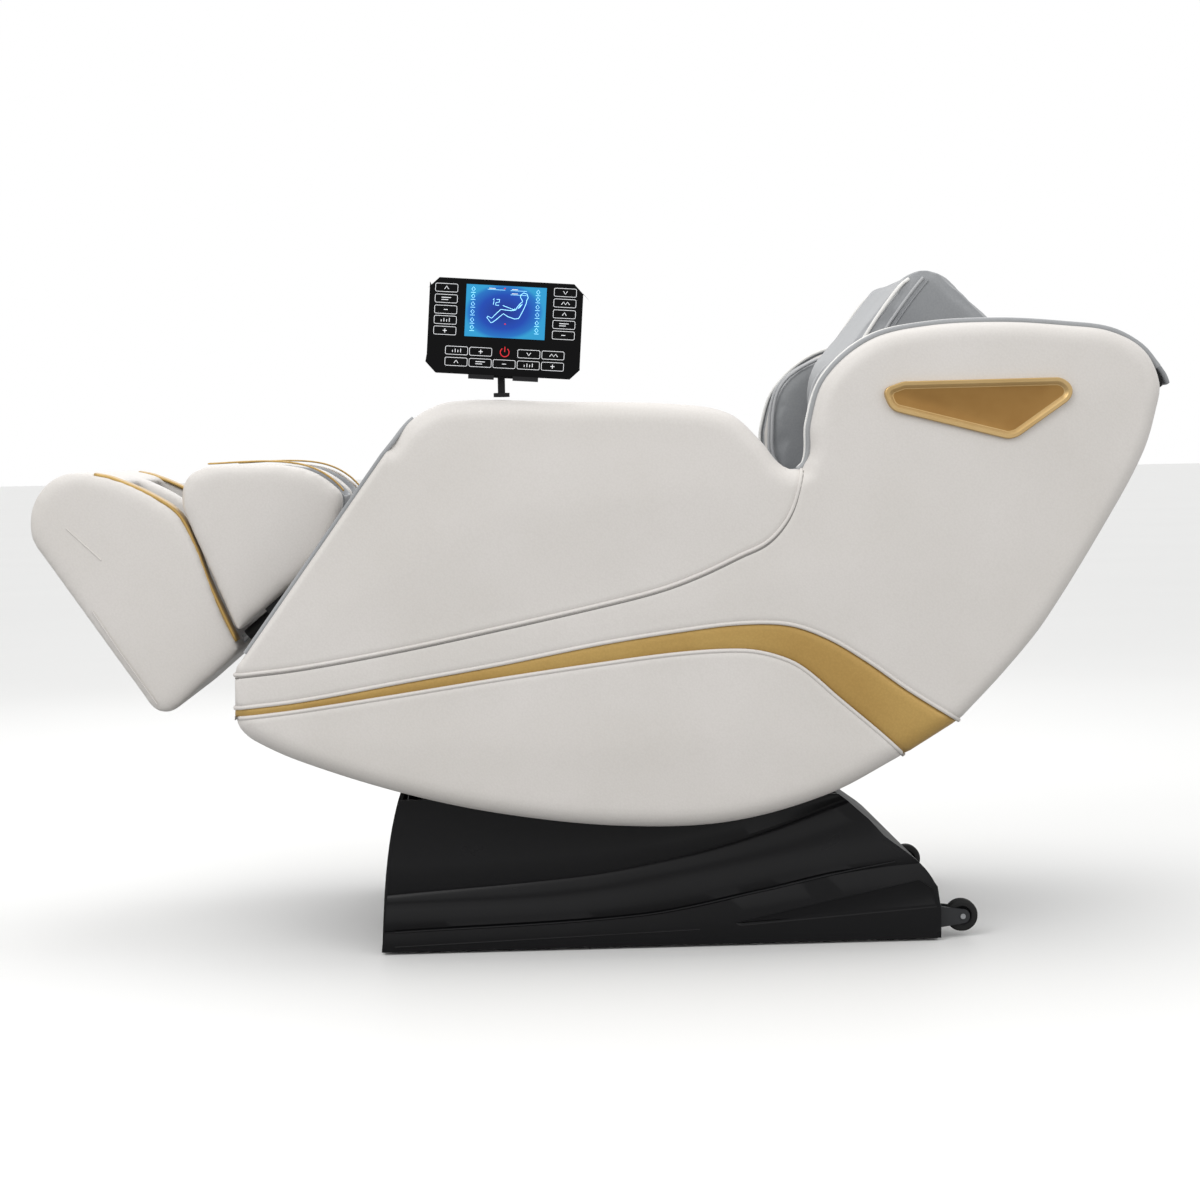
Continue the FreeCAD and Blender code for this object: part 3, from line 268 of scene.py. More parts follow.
nodeFinish = {
    "blackGloss": ["power_panel"],
    "blackSatin": ["front_apron", "back_cover", "base_ends", "tablet_cradle", "tablet_post", "power_inlet",
                   "power_rocker", "control_box", "power_supply"],
    "greyMoulding": ["air_pump", "gearbox"],
    "powderCoat": ["base_rails", "base_crossbars", "frame_sides", "cross_tubes", "seat_pan", "carriage_frame",
                   "leg_frame", "wheel_brackets", "tilt_actuator_body", "leg_actuator_body"],
    "groundSteel": ["hinge_pins", "wheel_axles", "guide_rails", "kneading_shaft", "slide_rods",
                    "tilt_actuator_rod", "leg_actuator_rod"],
    "nylon": ["guide_bushes"],
    "rollerSkin": ["massage_arm_left", "massage_arm_right"],
    "footRubber": ["rubber_feet"],
    "litScreen": ["tablet_screen"],
}
for finishName, nodeNames in nodeFinish.items():
    for nodeName in nodeNames:
        mesh = cadNodes[nodeName].data
        mesh.materials.clear()
        mesh.materials.append(finish[finishName])
print("materials ready:", len(finish))


# ---- shaping tools

def mm(*points):
    return [Vector(p) / 1000 for p in points]


def flow(points, step=0.009):
    # even places along a smooth line through the points
    line = []
    for i in range(len(points) - 1):
        start, end = points[i], points[i + 1]
        before, after = points[max(i - 1, 0)], points[min(i + 2, len(points) - 1)]
        reach = (end - start).length
        leave = start + (end - before).normalized() * reach / 3
        arrive = end - (after - start).normalized() * reach / 3
        line += geometry.interpolate_bezier(start, leave, arrive, end, max(2, round(reach / step) + 1))[:-1]
    return [Vector(p) for p in line] + [points[-1]]


def runs(points, step=0.009):
    # even places along straight runs
    line = []
    for start, end in zip(points, points[1:]):
        count = max(1, round((end - start).length / step))
        line += [start.lerp(end, i / count) for i in range(count)]
    return line + [points[-1]]


def loop(*lines):
    # joins lines end to end into one closed outline, without the doubled corner points
    outline = []
    for line in lines:
        for p in line:
            if not outline or (p - outline[-1]).length > 0.0004:
                outline.append(p)
    while (outline[0] - outline[-1]).length < 0.0004:
        outline.pop()
    return outline


def gap(places, line):
    # distance of each place from a line of points, in the side view
    line = np.array([tuple(p) for p in line])
    start, run = line[:-1], line[1:] - line[:-1]
    size = np.maximum((run ** 2).sum(1), 1e-12)
    best = np.full(len(places), 1e9)
    for s, r, d in zip(start, run, size):
        t = np.clip(((places - s) @ r) / d, 0, 1)
        best = np.minimum(best, np.hypot(*(places - s - t[:, None] * r).T))
    return best


def roundOver(distance, radius):
    inside = np.clip(radius - distance, 0, radius)
    return radius - np.sqrt(np.maximum(radius ** 2 - inside ** 2, 0))


def addPiece(name, bm, finishName, body, replaced=(), slotName=None, smooth=True, sharp=None):
    mesh = bpy.data.meshes.new(name)
    bm.to_mesh(mesh)
    bm.free()
    piece = bpy.data.objects.new(name, mesh)
    scene.collection.objects.link(piece)
    for one in finishName.split("+"):
        mesh.materials.append(finish[one])
    mesh.shade_smooth() if smooth else mesh.shade_flat()
    if sharp:
        mesh.set_sharp_from_angle(angle=math.radians(sharp))
    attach(piece, body)
    if replaced:
        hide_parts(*replaced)
    if slotName:
        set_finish(piece, slotName)
    return piece


def otherSide(piece, name, body=None, replaced=()):
    # the same piece on the sitter's right
    bm = bmesh.new()
    bm.from_mesh(piece.data)
    bmesh.ops.scale(bm, vec=(1, -1, 1), verts=bm.verts)
    bmesh.ops.reverse_faces(bm, faces=bm.faces)
    mesh = piece.data.copy()
    bm.to_mesh(mesh)
    bm.free()
    twin = bpy.data.objects.new(name, mesh)
    scene.collection.objects.link(twin)
    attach(twin, body or piece["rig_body"])
    if replaced:
        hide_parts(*replaced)
    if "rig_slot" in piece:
        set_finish(twin, piece["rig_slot"])
    return twin


def tube(name, paths, radius, finishName, body, slotName=None, closed=False):
    # a piping, welt or bead along one or more lines of 3-D points
    curve = bpy.data.curves.new(name, "CURVE")
    curve.dimensions = "3D"
    curve.bevel_depth = radius
    curve.bevel_resolution = 3
    curve.use_fill_caps = True
    for path in paths:
        spline = curve.splines.new("POLY")
        spline.points.add(len(path) - 1)
        for point, place in zip(spline.points, path):
            point.co = (*place, 1.0)
        spline.use_cyclic_u = closed
    holder = bpy.data.objects.new(name + "Line", curve)
    scene.collection.objects.link(holder)
    bpy.context.view_layer.update()
    mesh = bpy.data.meshes.new_from_object(holder)
    bpy.data.objects.remove(holder)
    bm = bmesh.new()
    bm.from_mesh(mesh)
    bmesh.ops.recalc_face_normals(bm, faces=bm.faces)
    return addPiece(name, bm, finishName, body, slotName=slotName)


def tubePair(name, path, radius, finishName, body, slotName):
    # the same piping on both sides of the chair
    otherSide(tube(name + "Left", [path], radius, finishName, body, slotName), name + "Right")


def atDepth(line, y):
    # a side-view line stood at one distance from the middle of the chair
    return [Vector((p[0], y, p[1])) for p in line]


def loft(bm, rows, ringed=False, wrapped=False):
    # skins rows of points one to the next; gives back the last row's points
    chains = []
    for row in rows:
        verts = [bm.verts.new(p) for p in row]
        following = verts[1:] + verts[:1] if ringed else verts[1:]
        chains.append([bm.edges.new(pair) for pair in zip(verts, following)])
    for one, other in zip(chains, chains[1:] + chains[:1] if wrapped else chains[1:]):
        bmesh.ops.bridge_loops(bm, edges=one + other)
    return verts


def openEdges(bm):
    return [e for e in bm.edges if e.is_boundary]


def rowOff(bm):
    # a new row of points off every open edge
    grown = bmesh.ops.extrude_edge_only(bm, edges=openEdges(bm))["geom"]
    return [g for g in grown if isinstance(g, bmesh.types.BMVert)]


def seal(bm):
    bmesh.ops.holes_fill(bm, edges=openEdges(bm), sides=0)
    bmesh.ops.recalc_face_normals(bm, faces=bm.faces)


# ---- upholstered side walls

wall = {
    "face": 0.366,       # where the boards' faces stand, from the middle of the chair
    "inner": 0.301,
    "crown": 0.007,      # how far the foam swells the middle of a panel
    "crownReach": 0.11,
    "rim": 0.024,        # radius of the outer edges
    "seamDepth": 0.0032,
    "seamWidth": 0.009,
    "grid": 0.016,
    "rings": (0.0008, 0.0022, 0.0042, 0.0066, 0.0095, 0.013, 0.0175, 0.023, 0.031),
}
seamLine = flow(mm((-554, 439), (-456, 449), (-308, 473), (-159, 502), (-9, 533), (80, 554), (140, 575), (200, 602),
                   (245, 624), (278, 665), (298, 730)))
armFront = flow(mm((-554, 439), (-551, 451), (-542, 463))) + runs(mm((-542, 463), (-316, 775)))[1:]
armTop = flow(mm((-316, 775), (-281, 815), (-225, 839), (-63, 836), (115, 829), (190, 814), (236, 773), (262, 740),
                 (280, 729), (298, 730)))
wingLine = flow(mm((298, 730), (310, 752), (312, 796), (335, 863), (402, 919), (488, 939), (600, 943), (698, 936),
                   (765, 926), (815, 897), (838, 848), (832, 806), (814, 747), (771, 666), (664, 496), (603, 422),
                   (530, 346)))
beltTop = flow(mm((-555, 390), (-457, 400), (-309, 424), (-160, 448), (-11, 475), (109, 492), (199, 501), (273, 498),
                  (333, 476), (393, 439), (452, 396), (530, 346)))
beltLow = flow(mm((-556, 374), (-458, 384), (-309, 404), (-160, 425), (-11, 444), (108, 457), (198, 460), (243, 453),
                  (288, 434), (347, 383), (406, 332), (446, 295)))
keelLine = flow(mm((446, 295), (330, 237), (179, 199), (14, 197), (-165, 220), (-313, 255), (-460, 305), (-530, 339),
                   (-550, 358), (-556, 374)))
frontEdge = runs(mm((-554, 439), (-555, 390)))
beltFront = runs(mm((-555, 390), (-556, 374)))
beltRear = runs(mm((530, 346), (446, 295)))
rims = [(armFront, 0.010), (armTop, 0.028), (wingLine, wall["rim"]), (keelLine, 0.030), (beltRear, 0.024),
        (frontEdge, 0.012), (beltFront, 0.012)]


def wallDepth(places, seams, sink=0.0):
    # how far out the leather stands at each place of the side view
    depth = np.full(len(places), wall["face"] - sink)
    edge = np.full(len(places), 1e9)
    for line, radius in rims:
        distance = gap(places, line)
        depth = np.minimum(depth, wall["face"] - sink - roundOver(distance, radius))
        edge = np.minimum(edge, distance)
    for line in seams:
        distance = gap(places, line)
        edge = np.minimum(edge, distance)
        depth -= wall["seamDepth"] * np.clip(1 - distance / wall["seamWidth"], 0, 1) ** 2
    return depth + wall["crown"] * (1 - np.exp(-edge / wall["crownReach"])) ** 2


def innerRing(outline, inset):
    # the outline moved inward; points that would fold over at a corner are left out
    count = len(outline)
    turn = sum(a.x * b.y - b.x * a.y for a, b in zip(outline, outline[1:] + outline[:1]))
    ring = []
    for i, p in enumerate(outline):
        along = (outline[(i + 1) % count] - outline[i - 1]).normalized()
        ring.append(p + Vector((-along.y, along.x)) * math.copysign(inset, turn))
    distance = gap(np.array([tuple(p) for p in ring]), outline + outline[:1])
    return [p for p, d in zip(ring, distance) if d > inset * 0.96]


def inside(places, outline):
    # which places lie within a closed outline
    within = np.zeros(len(places), bool)
    for a, b in zip(outline, outline[1:] + outline[:1]):
        if abs(a.y - b.y) > 1e-9:
            level = (places[:, 1] > min(a.y, b.y)) & (places[:, 1] <= max(a.y, b.y))
            within ^= level & (places[:, 0] < a.x + (places[:, 1] - a.y) * (b.x - a.x) / (b.y - a.y))
    return within


def boardPiece(name, outline, seams, finishName, replaced, slotName):
    # close rings of points follow the edge, an even field fills the middle, and a triangulation joins them
    points = list(outline)
    for inset in wall["rings"]:
        points += innerRing(outline, inset)
    low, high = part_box(replaced[0])
    rows = enumerate(np.arange(low.z, high.z, wall["grid"] * 0.866))
    field = np.array([(x + row % 2 * wall["grid"] / 2, z) for row, z in rows
                      for x in np.arange(low.x, high.x, wall["grid"])])
    clear = gap(field, outline + outline[:1]) > wall["rings"][-1] + wall["grid"] * 0.4
    points += [Vector(p) for p in field[inside(field, outline) & clear]]
    border = [(i, (i + 1) % len(outline)) for i in range(len(outline))]
    spots, _, triangles = geometry.delaunay_2d_cdt(points, border, [], 1, 1e-6)[:3]
    bm = bmesh.new()
    depths = wallDepth(np.array([tuple(p) for p in spots]), seams)
    verts = [bm.verts.new((p.x, -depth, p.y)) for p, depth in zip(spots, depths)]
    for triangle in triangles:
        bm.faces.new([verts[i] for i in triangle])
    bmesh.ops.delete(bm, geom=[v for v in bm.verts if not v.link_faces], context="VERTS")
    closeBoard(bm)
    return addPiece(name, bm, finishName, "shell", replaced, slotName)


def closeBoard(bm):
    # carries the edge of a face back to the lining and closes it there
    back = rowOff(bm)
    for f in {f for v in back for f in v.link_faces}:
        f.material_index = 1 if f.calc_center_median().z > 0.5 else 0
    for v in back:
        v.co.y = -wall["inner"]
    seal(bm)


sideOutline = loop(seamLine, wingLine, beltTop[::-1], frontEdge[::-1])
armOutline = loop(seamLine[::-1], armFront, armTop)
lowerOutline = loop(beltLow, keelLine)
sideWall = boardPiece("sideWallLeft", sideOutline, [seamLine, beltTop], "ivoryLeather+greyLeather",
                      ["side_panel_left"], "ivory_leather")
otherSide(sideWall, "sideWallRight", replaced=["side_panel_right"])
armrest = boardPiece("armrestPanelLeft", armOutline, [seamLine], "ivoryLeather+greyLeather",
                     ["armrest_panels"], "ivory_leather")
otherSide(armrest, "armrestPanelRight")
lowerPanel = boardPiece("rockerPanelLeft", lowerOutline, [beltLow], "ivoryLeather+ivoryLeather",
                        ["lower_panels"], "ivory_leather")
otherSide(lowerPanel, "rockerPanelRight")

# the gold belt is a strip lofted from its upper to its lower seam
belt = {"steps": 130, "cuts": 7, "sink": 0.0025}
beltEnds = (beltTop[0], beltLow[0], beltTop[-1], beltLow[-1])


def evenly(line, count):
    lengths = np.cumsum([0] + [(b - a).length for a, b in zip(line, line[1:])])
    at = np.linspace(0, lengths[-1], count)
    xs = np.interp(at, lengths, [p[0] for p in line])
    zs = np.interp(at, lengths, [p[1] for p in line])
    return [Vector(p) for p in zip(xs, zs)]


def spansBelt(edge):
    # runs from seam to seam, within the strip or along one of its two ends
    upright = abs((edge.verts[0].co - edge.verts[1].co).normalized().z) > 0.5
    atEnd = min(abs(v.co.x - p.x) for v in edge.verts for p in beltEnds) < 0.001
    return not edge.is_boundary or (upright and atEnd)


bm = bmesh.new()
loft(bm, [atDepth(evenly(line, belt["steps"]), 0) for line in (beltTop, beltLow)])
bmesh.ops.subdivide_edges(bm, edges=[e for e in bm.edges if spansBelt(e)], cuts=belt["cuts"], use_grid_fill=True)
places = np.array([(v.co.x, v.co.z) for v in bm.verts])
for v, depth in zip(bm.verts, wallDepth(places, [beltTop, beltLow], belt["sink"])):
    v.co.y = -depth
closeBoard(bm)
goldBelt = addPiece("goldBeltLeft", bm, "goldLeather+goldLeather", "shell", ["belt_trims"], "gold_leather")
otherSide(goldBelt, "goldBeltRight")
print("side walls made")


def onWall(line, proud, seams):
    depths = wallDepth(np.array([tuple(p) for p in line]), seams)
    return [Vector((p[0], -d - proud, p[1])) for p, d in zip(line, depths)]


def weltLine(line, proud, turnStart, turnEnd):
    # a welt lies in its seam, and runs on round an outer edge where its line meets one
    path = onWall(line, proud, [line])
    if turnStart:
        path = [Vector((path[0].x + turnStart[0], y, path[0].z + turnStart[1])) for y in (-0.31, -0.348)] + path
    if turnEnd:
        path += [Vector((path[-1].x + turnEnd[0], y, path[-1].z + turnEnd[1])) for y in (-0.34, -0.31)]
    return path


welts = {   # line, how proud it lies, and how far it moves as it turns round its first and last edge
    "armSeamWelt": (seamLine, 0.0004, (-0.0005, 0), None),
    "beltUpperWelt": (beltTop, 0.0006, (-0.0005, 0), (0.001, -0.001)),
    "beltLowerWelt": (beltLow, 0.0006, (-0.0005, 0), (0.001, -0.001)),
}
for name, settings in welts.items():
    tubePair(name, weltLine(*settings), 0.0032, "ivoryLeather", "shell", "ivory_leather")

frontPath = [Vector((p.x - 0.0008, -0.357, p.y + 0.001)) for p in armFront[4:-2]]
turnIn = (-0.3545, -0.351, -0.347, -0.343, -0.340, -0.338)
frontPath += [Vector((p.x, y, p.y)) for p, y in zip(armTop[1:7], turnIn)]
wingPath = flow(mm((292, 727), (303, 736), (309, 754), (311, 796), (334, 864), (401, 921), (488, 941), (600, 945),
                   (698, 938), (766, 928), (812, 903), (838, 872)))
beadPath = flow(mm((292, 729), (301, 738), (305, 756), (307, 798), (331, 866), (399, 924), (488, 944), (600, 948),
                   (690, 941)))
pipings = {
    "armFrontPiping": (frontPath, 0.0036, "greyPiping"),
    "wingPiping": (atDepth(wingPath, -0.337), 0.0050, "greyPiping"),
    "wingBead": (atDepth(beadPath, -0.3275), 0.0026, "whitePiping"),
}
for name, (path, radius, finishName) in pipings.items():
    tubePair(name, path, radius, finishName, "shell", "grey_leather")
# a thin dark tube laid just below the arm seam welt: painted shadow under the welt
seamShadow = onWall([p + Vector((0.0012, -0.0042)) for p in seamLine], -0.0004, [seamLine])
tubePair("armSeamPaintedShadow", seamShadow, 0.0013, "seamPaintedShadow", "shell", "ivory_leather")
print("welts and piping made")

# ---- wing badge: plated shield with a raised rim round a sunk field

badge = {
    "outline": mm((415, 845), (447, 856), (685, 858), (704, 840), (694, 823), (618, 771), (604, 767), (428, 813)),
    # how far in from the outline, how far out from the middle of the chair, radius of the corners
    "steps": ((0, 0.3655, 0.022), (0, 0.3752, 0.022), (0.0004, 0.3764, 0.0215), (0.0014, 0.3772, 0.020),
              (0.0058, 0.3770, 0.015), (0.0070, 0.3762, 0.014), (0.0104, 0.3728, 0.011), (0.0116, 0.3726, 0.010)),
}


def shrunk(outline, inset, corner, steps=5):
    # a convex outline moved inward, each corner rounded
    count = len(outline)
    turn = math.copysign(1, sum(a.x * b.y - b.x * a.y for a, b in zip(outline, outline[1:] + outline[:1])))
    sides = []
    for i in range(count):
        along = (outline[(i + 1) % count] - outline[i]).normalized()
        sides.append((outline[i] + Vector((-along.y, along.x)) * inset * turn, along))
    loopPoints = []
    for i in range(count):
        (p, a), (q, b) = sides[i - 1], sides[i]
        spot = p + a * ((q - p).cross(b) / a.cross(b))
        back = min(corner * math.tan(a.angle(b) / 2), corner * 0.55)
        loopPoints += geometry.interpolate_bezier(spot - a * back, spot - a * back * 0.45, spot + b * back * 0.45,
                                                  spot + b * back, steps)
    return loopPoints


bm = bmesh.new()
field = bm.faces.new(loft(bm, [atDepth(shrunk(badge["outline"], inset, corner), -depth)
                               for inset, depth, corner in badge["steps"]], ringed=True))
field.material_index = 1
seal(bm)
plate = addPiece("wingBadgeLeft", bm, "goldPlating+goldField", "shell", ["wing_badges"], "gold_plastic", sharp=24)
otherSide(plate, "wingBadgeRight")
print("badges made")


# ---- soft pieces: each starts from its plain solid and is closed with a fine skin; some are blown up a little

def blowUp(piece, soft):
    # cloth held by air pressure; a point may move only as far as the cap
    modifier = piece.modifiers.new("air", "CLOTH")
    modifier.settings.use_pressure = True
    modifier.settings.uniform_pressure_force = soft["pressure"]
    modifier.settings.effector_weights.gravity = 0
    modifier.settings.quality = 5
    modifier.settings.tension_stiffness = 12
    modifier.settings.compression_stiffness = 12
    modifier.settings.bending_stiffness = 1.5
    modifier.collision_settings.use_collision = False
    modifier.point_cache.frame_end = 20
    for number in range(1, 21):
        scene.frame_set(number)
    blown = bpy.data.meshes.new_from_object(piece.evaluated_get(bpy.context.evaluated_depsgraph_get()))
    piece.modifiers.clear()
    scene.frame_set(1)
    return np.array([v.co for v in blown.vertices])


def softPiece(name, node, soft, finishName, body, slotName, fill, press):
    bm = bmesh.new()
    bm.from_mesh(cadNodes[node].data)
    bmesh.ops.remove_doubles(bm, verts=bm.verts, dist=0.00002)
    piece = addPiece(name, bm, finishName, body, [node], slotName)
    skin = piece.modifiers.new("skin", "REMESH")
    skin.mode = "VOXEL"
    skin.voxel_size = soft["voxel"]
    bpy.context.view_layer.update()
    closed = bpy.data.meshes.new_from_object(piece.evaluated_get(bpy.context.evaluated_depsgraph_get()))
    piece.modifiers.clear()
    bm = bmesh.new()
    bm.from_mesh(closed)
    for turn in range(soft["smooth"]):
        bmesh.ops.smooth_vert(bm, verts=bm.verts, factor=0.5, use_axis_x=True, use_axis_y=True, use_axis_z=True)
    bm.normal_update()
    for v in bm.verts:
        v.co -= v.normal * soft.get("shrink", 0)
    bm.to_mesh(piece.data)
    bm.free()
    if "pressure" in soft:
        start = np.array([v.co for v in piece.data.vertices])
        move = blowUp(piece, soft) - start
        size = np.linalg.norm(move, axis=1)
        move *= (np.minimum(size, soft["cap"]) / np.maximum(size, 1e-9))[:, None]
        piece.data.vertices.foreach_set("co", (start + move).ravel())
    if press:
        press(piece.data)
    piece.data.shade_smooth()
    finer = piece.modifiers.new("finer", "SUBSURF")
    finer.levels = finer.render_levels = 1


seatStart, seatEnd = Vector((-0.372, 0.655)), Vector((0.120, 0.395))
backStart, backEnd = Vector((0.120, 0.395)), Vector((0.555, 0.905))


def channels(start, end, along, across, depth, width):
    # sewn channels, pressed into the side that faces the sitter
    forward = (end - start).normalized()
    up = Vector((-forward.y, forward.x))

    def press(mesh):
        mesh.update()
        for v in mesh.vertices:
            facing = v.normal.x * up.x + v.normal.z * up.y
            if facing < 0.3:
                continue
            run = (Vector((v.co.x, v.co.z)) - start).dot(forward)
            dip = max([math.exp(-((run - a) / width) ** 2) * (abs(v.co.y) < across[0] + 0.004) for a in along]
                      + [math.exp(-((abs(v.co.y) - c) / width) ** 2) for c in across])
            v.co -= Vector((up.x, 0, up.y)) * depth * dip * min(1, (facing - 0.3) * 2)
    return press


cushions = {
    "seatCushion": ("seat_cushion", {"voxel": 0.006, "smooth": 8, "shrink": 0.004, "pressure": 4, "cap": 0.014},
                    "greyLeather", "shell", "grey_leather", 0.8,
                    channels(seatStart, seatEnd, (0.09, 0.19, 0.29, 0.39), (0.15,), 0.008, 0.006)),
    "backCushion": ("back_pad", {"voxel": 0.006, "smooth": 8, "shrink": 0.004, "pressure": 4, "cap": 0.012},
                    "greyLeather", "shell", "grey_leather", 0.8,
                    channels(backStart, backEnd, (0.12, 0.24, 0.36, 0.48), (0.14,), 0.008, 0.006)),
    "shoulderPads": ("shoulder_pads", {"voxel": 0.005, "smooth": 7, "shrink": 0.001, "pressure": 2, "cap": 0.002},
                     "greyLeather", "shell", "grey_leather", 0.85, None),
    "armPads": ("arm_pads", {"voxel": 0.006, "smooth": 5, "shrink": 0.002, "pressure": 3, "cap": 0.004},
                "greyLeather", "shell", "grey_leather", 0.85, None),
    "headPillow": ("head_pillow", {"voxel": 0.005, "smooth": 3, "shrink": 0.002, "pressure": 3, "cap": 0.0035},
                   "greyLeather", "pillow", "grey_leather", 0.8, None),
    "topLip": ("top_lip", {"voxel": 0.003, "smooth": 3}, "greyLeather", "shell", "grey_leather", None, None),
    "calfShell": ("calf_shell", {"voxel": 0.007, "smooth": 9},
                  "ivoryLeather", "leg_rest", "ivory_leather", 0.95, None),
    "footShell": ("foot_shell", {"voxel": 0.007, "smooth": 9},
                  "ivoryLeather", "foot_rest", "ivory_leather", 0.95, None),
    "calfLining": ("calf_lining", {"voxel": 0.006, "smooth": 4, "shrink": 0.001},
                   "greyLeather", "leg_rest", "grey_leather", 0.7, None),
    "footLining": ("foot_lining", {"voxel": 0.006, "smooth": 4, "shrink": 0.001},
                   "greyLeather", "foot_rest", "grey_leather", 0.7, None),
    "calfTrim": ("calf_trim", {"voxel": 0.0018, "smooth": 2},
                 "goldLeather", "leg_rest", "gold_leather", None, None),
}
for name, settings in cushions.items():
    softPiece(name, *settings)
    print("soft piece", name)

# gold band laid over the rear edge of each foot wall
footEdge = flow(mm((-562, 482), (-600, 569), (-621, 630), (-645, 679), (-687, 709), (-746, 736), (-772, 742)))
band = {
    "outer": 0.2405, "inner": 0.2005,
    "edge": ((0, -0.004), (0, -0.001), (0.0012, 0.0004), (0.005, 0.0006)),   # in from its edge, off the wall
    "middle": ((0.230, 0.0012), (0.214, 0.0012)),
}


def raised(line, lift):
    # a side-view line moved square to its own run
    moved = []
    for i, p in enumerate(line):
        along = (line[min(i + 1, len(line) - 1)] - line[max(i - 1, 0)]).normalized()
        moved.append(p + Vector((along.y, -along.x)) * lift)
    return moved


bandRows = [(band["outer"] - into, lift) for into, lift in band["edge"]] + list(band["middle"])
bandRows += [(band["inner"] + into, lift) for into, lift in band["edge"][::-1]]
bm = bmesh.new()
loft(bm, [atDepth(raised(footEdge, lift), -y) for y, lift in bandRows], wrapped=True)
seal(bm)
goldBand = addPiece("footGoldBandLeft", bm, "goldLeather", "foot_rest", ["foot_trim"], "gold_leather")
otherSide(goldBand, "footGoldBandRight")

# edge pipings of the soft pieces
shoulderEdge = flow(mm((336, 722), (322, 745), (319, 780), (327, 850), (350, 885), (405, 915), (470, 927),
                       (560, 932)))
shoulderInset = flow(mm((344, 728), (333, 748), (330, 782), (338, 845), (359, 876), (410, 905), (470, 917),
                        (560, 922)))
pillowEdge = flow(mm((411, 921), (437, 961), (466, 1000), (479, 1014), (488, 1020)))
pillowSeam = flow(mm((425, 903), (451, 945), (481, 987), (500, 1011), (509, 1021)))
pillowStitch = [p + Vector((0.0075, -0.0045)) for p in pillowSeam]
softPipings = {
    "shoulderPiping": (shoulderEdge, -0.2985, 0.0034, "silverPiping", "shell"),
    "shoulderBead": (shoulderInset, -0.3005, 0.0022, "whitePiping", "shell"),
    "shoulderInnerPiping": (shoulderEdge, -0.252, 0.003, "silverPiping", "shell"),
    "pillowPiping": (pillowEdge, -0.190, 0.0030, "whitePiping", "pillow"),
    "pillowWelt": (pillowSeam, -0.1965, 0.0026, "silverPiping", "pillow"),
    "pillowStitchWelt": (pillowStitch, -0.1965, 0.0016, "greyLeather", "pillow"),
}
for name, (line, y, radius, finishName, body) in softPipings.items():
    tubePair(name, atDepth(line, y), radius, finishName, body, "grey_leather")

# panel seams of the foot section
footSeams = {
    "footSeamUpper": runs(mm((-815, 659), (-764, 610))),
    "footSeamLower": flow(mm((-780, 533), (-747, 480), (-714, 430), (-686, 388))),
}
for name, line in footSeams.items():
    tubePair(name, atDepth(line, -0.2502), 0.0011, "ivoryLeather", "foot_rest", "ivory_leather")
print("edge pipings made")

# ---- base side covers: one moulding lofted through its sweeping ribs

cover = {"steps": 72, "pitch": 0.004, "round": 0.005, "drawFront": 0.0022, "drawRear": 0.002, "back": 0.2803}
coverRows = [   # line of each row in the side view, and how far out it stands
    (mm((-320, 236), (-150, 234), (60, 231), (230, 230), (352, 230)), 0.2845),
    (mm((-328, 185), (-140, 184), (60, 190), (220, 208), (356, 228)), 0.2828),
    (mm((-335, 135), (-130, 141), (80, 160), (230, 190), (360, 225)), 0.2840),
    (mm((-339, 95), (-30, 118), (124, 146), (239, 178), (364, 222)), 0.2875),
    (mm((-340, 90), (-30, 113), (124, 141), (239, 173), (368, 219)), 0.2852),
    (mm((-340, 86), (-30, 108), (124, 136), (239, 168), (371, 216)), 0.2886),
    (mm((-341, 79), (-69, 88), (123, 118), (277, 150), (400, 190)), 0.2896),
    (mm((-342, 73), (-69, 79), (123, 107), (277, 136), (424, 163)), 0.2888),
    (mm((-342, 68), (-69, 74), (123, 100), (277, 129), (436, 153)), 0.2916),
    (mm((-344, 50), (-60, 58), (130, 80), (270, 108), (462, 134)), 0.2930),
    (mm((-345, 38), (46, 55), (238, 89), (354, 113), (474, 124)), 0.2938),
    (mm((-345, 35), (46, 52), (238, 86), (354, 110), (478, 120)), 0.2918),
    (mm((-345, 32), (46, 49), (238, 82), (354, 106), (484, 113)), 0.2950),
    (mm((-347, 24), (46, 36), (238, 58), (354, 74), (504, 84)), 0.2960),
    (mm((-349, 15), (46, 20), (238, 30), (354, 40), (509, 48)), 0.2964),
    (mm((-350, 4), (46, 4), (238, 4), (354, 4), (509, 4)), 0.2950),
]
bm = bmesh.new()
loft(bm, [atDepth(evenly(flow(line, cover["pitch"]), cover["steps"]), -depth) for line, depth in coverRows])
for v in rowOff(bm):
    v.co.y += cover["round"]
    v.co.x += cover["drawFront"] if v.co.x < -0.3 else (-cover["drawRear"] if v.co.x > 0.345 else 0)
for v in rowOff(bm):
    v.co.y = -cover["back"]
seal(bm)
coverPiece = addPiece("baseCoverLeft", bm, "blackGloss", "base", ["base_covers"], "black_abs", sharp=38)
otherSide(coverPiece, "baseCoverRight")

# a shallow wedge-shaped insert and two fine ridges low on the cover
wedge = {"outline": mm((191, 36), (476, 95), (497, 80), (503, 52), (199, 31)), "face": 0.2972, "back": 0.2938,
         "corner": 0.003, "border": 0.002, "sunk": 0.0009}
bm = bmesh.new()
bm.faces.new([bm.verts.new(p) for p in atDepth(wedge["outline"], -wedge["face"])])
bmesh.ops.bevel(bm, geom=bm.verts[:], offset=wedge["corner"], segments=3, profile=0.5, affect="VERTICES",
                material=-1)
face = bm.faces[:]
bmesh.ops.inset_region(bm, faces=face, thickness=wedge["border"], use_boundary=True, use_even_offset=False)
for v in {v for f in face for v in f.verts}:
    v.co.y += wedge["sunk"]
for v in rowOff(bm):
    v.co.y = -wedge["back"]
bmesh.ops.recalc_face_normals(bm, faces=bm.faces)
otherSide(addPiece("coverWedgeLeft", bm, "blackGloss", "base", slotName="black_abs", sharp=30), "coverWedgeRight")
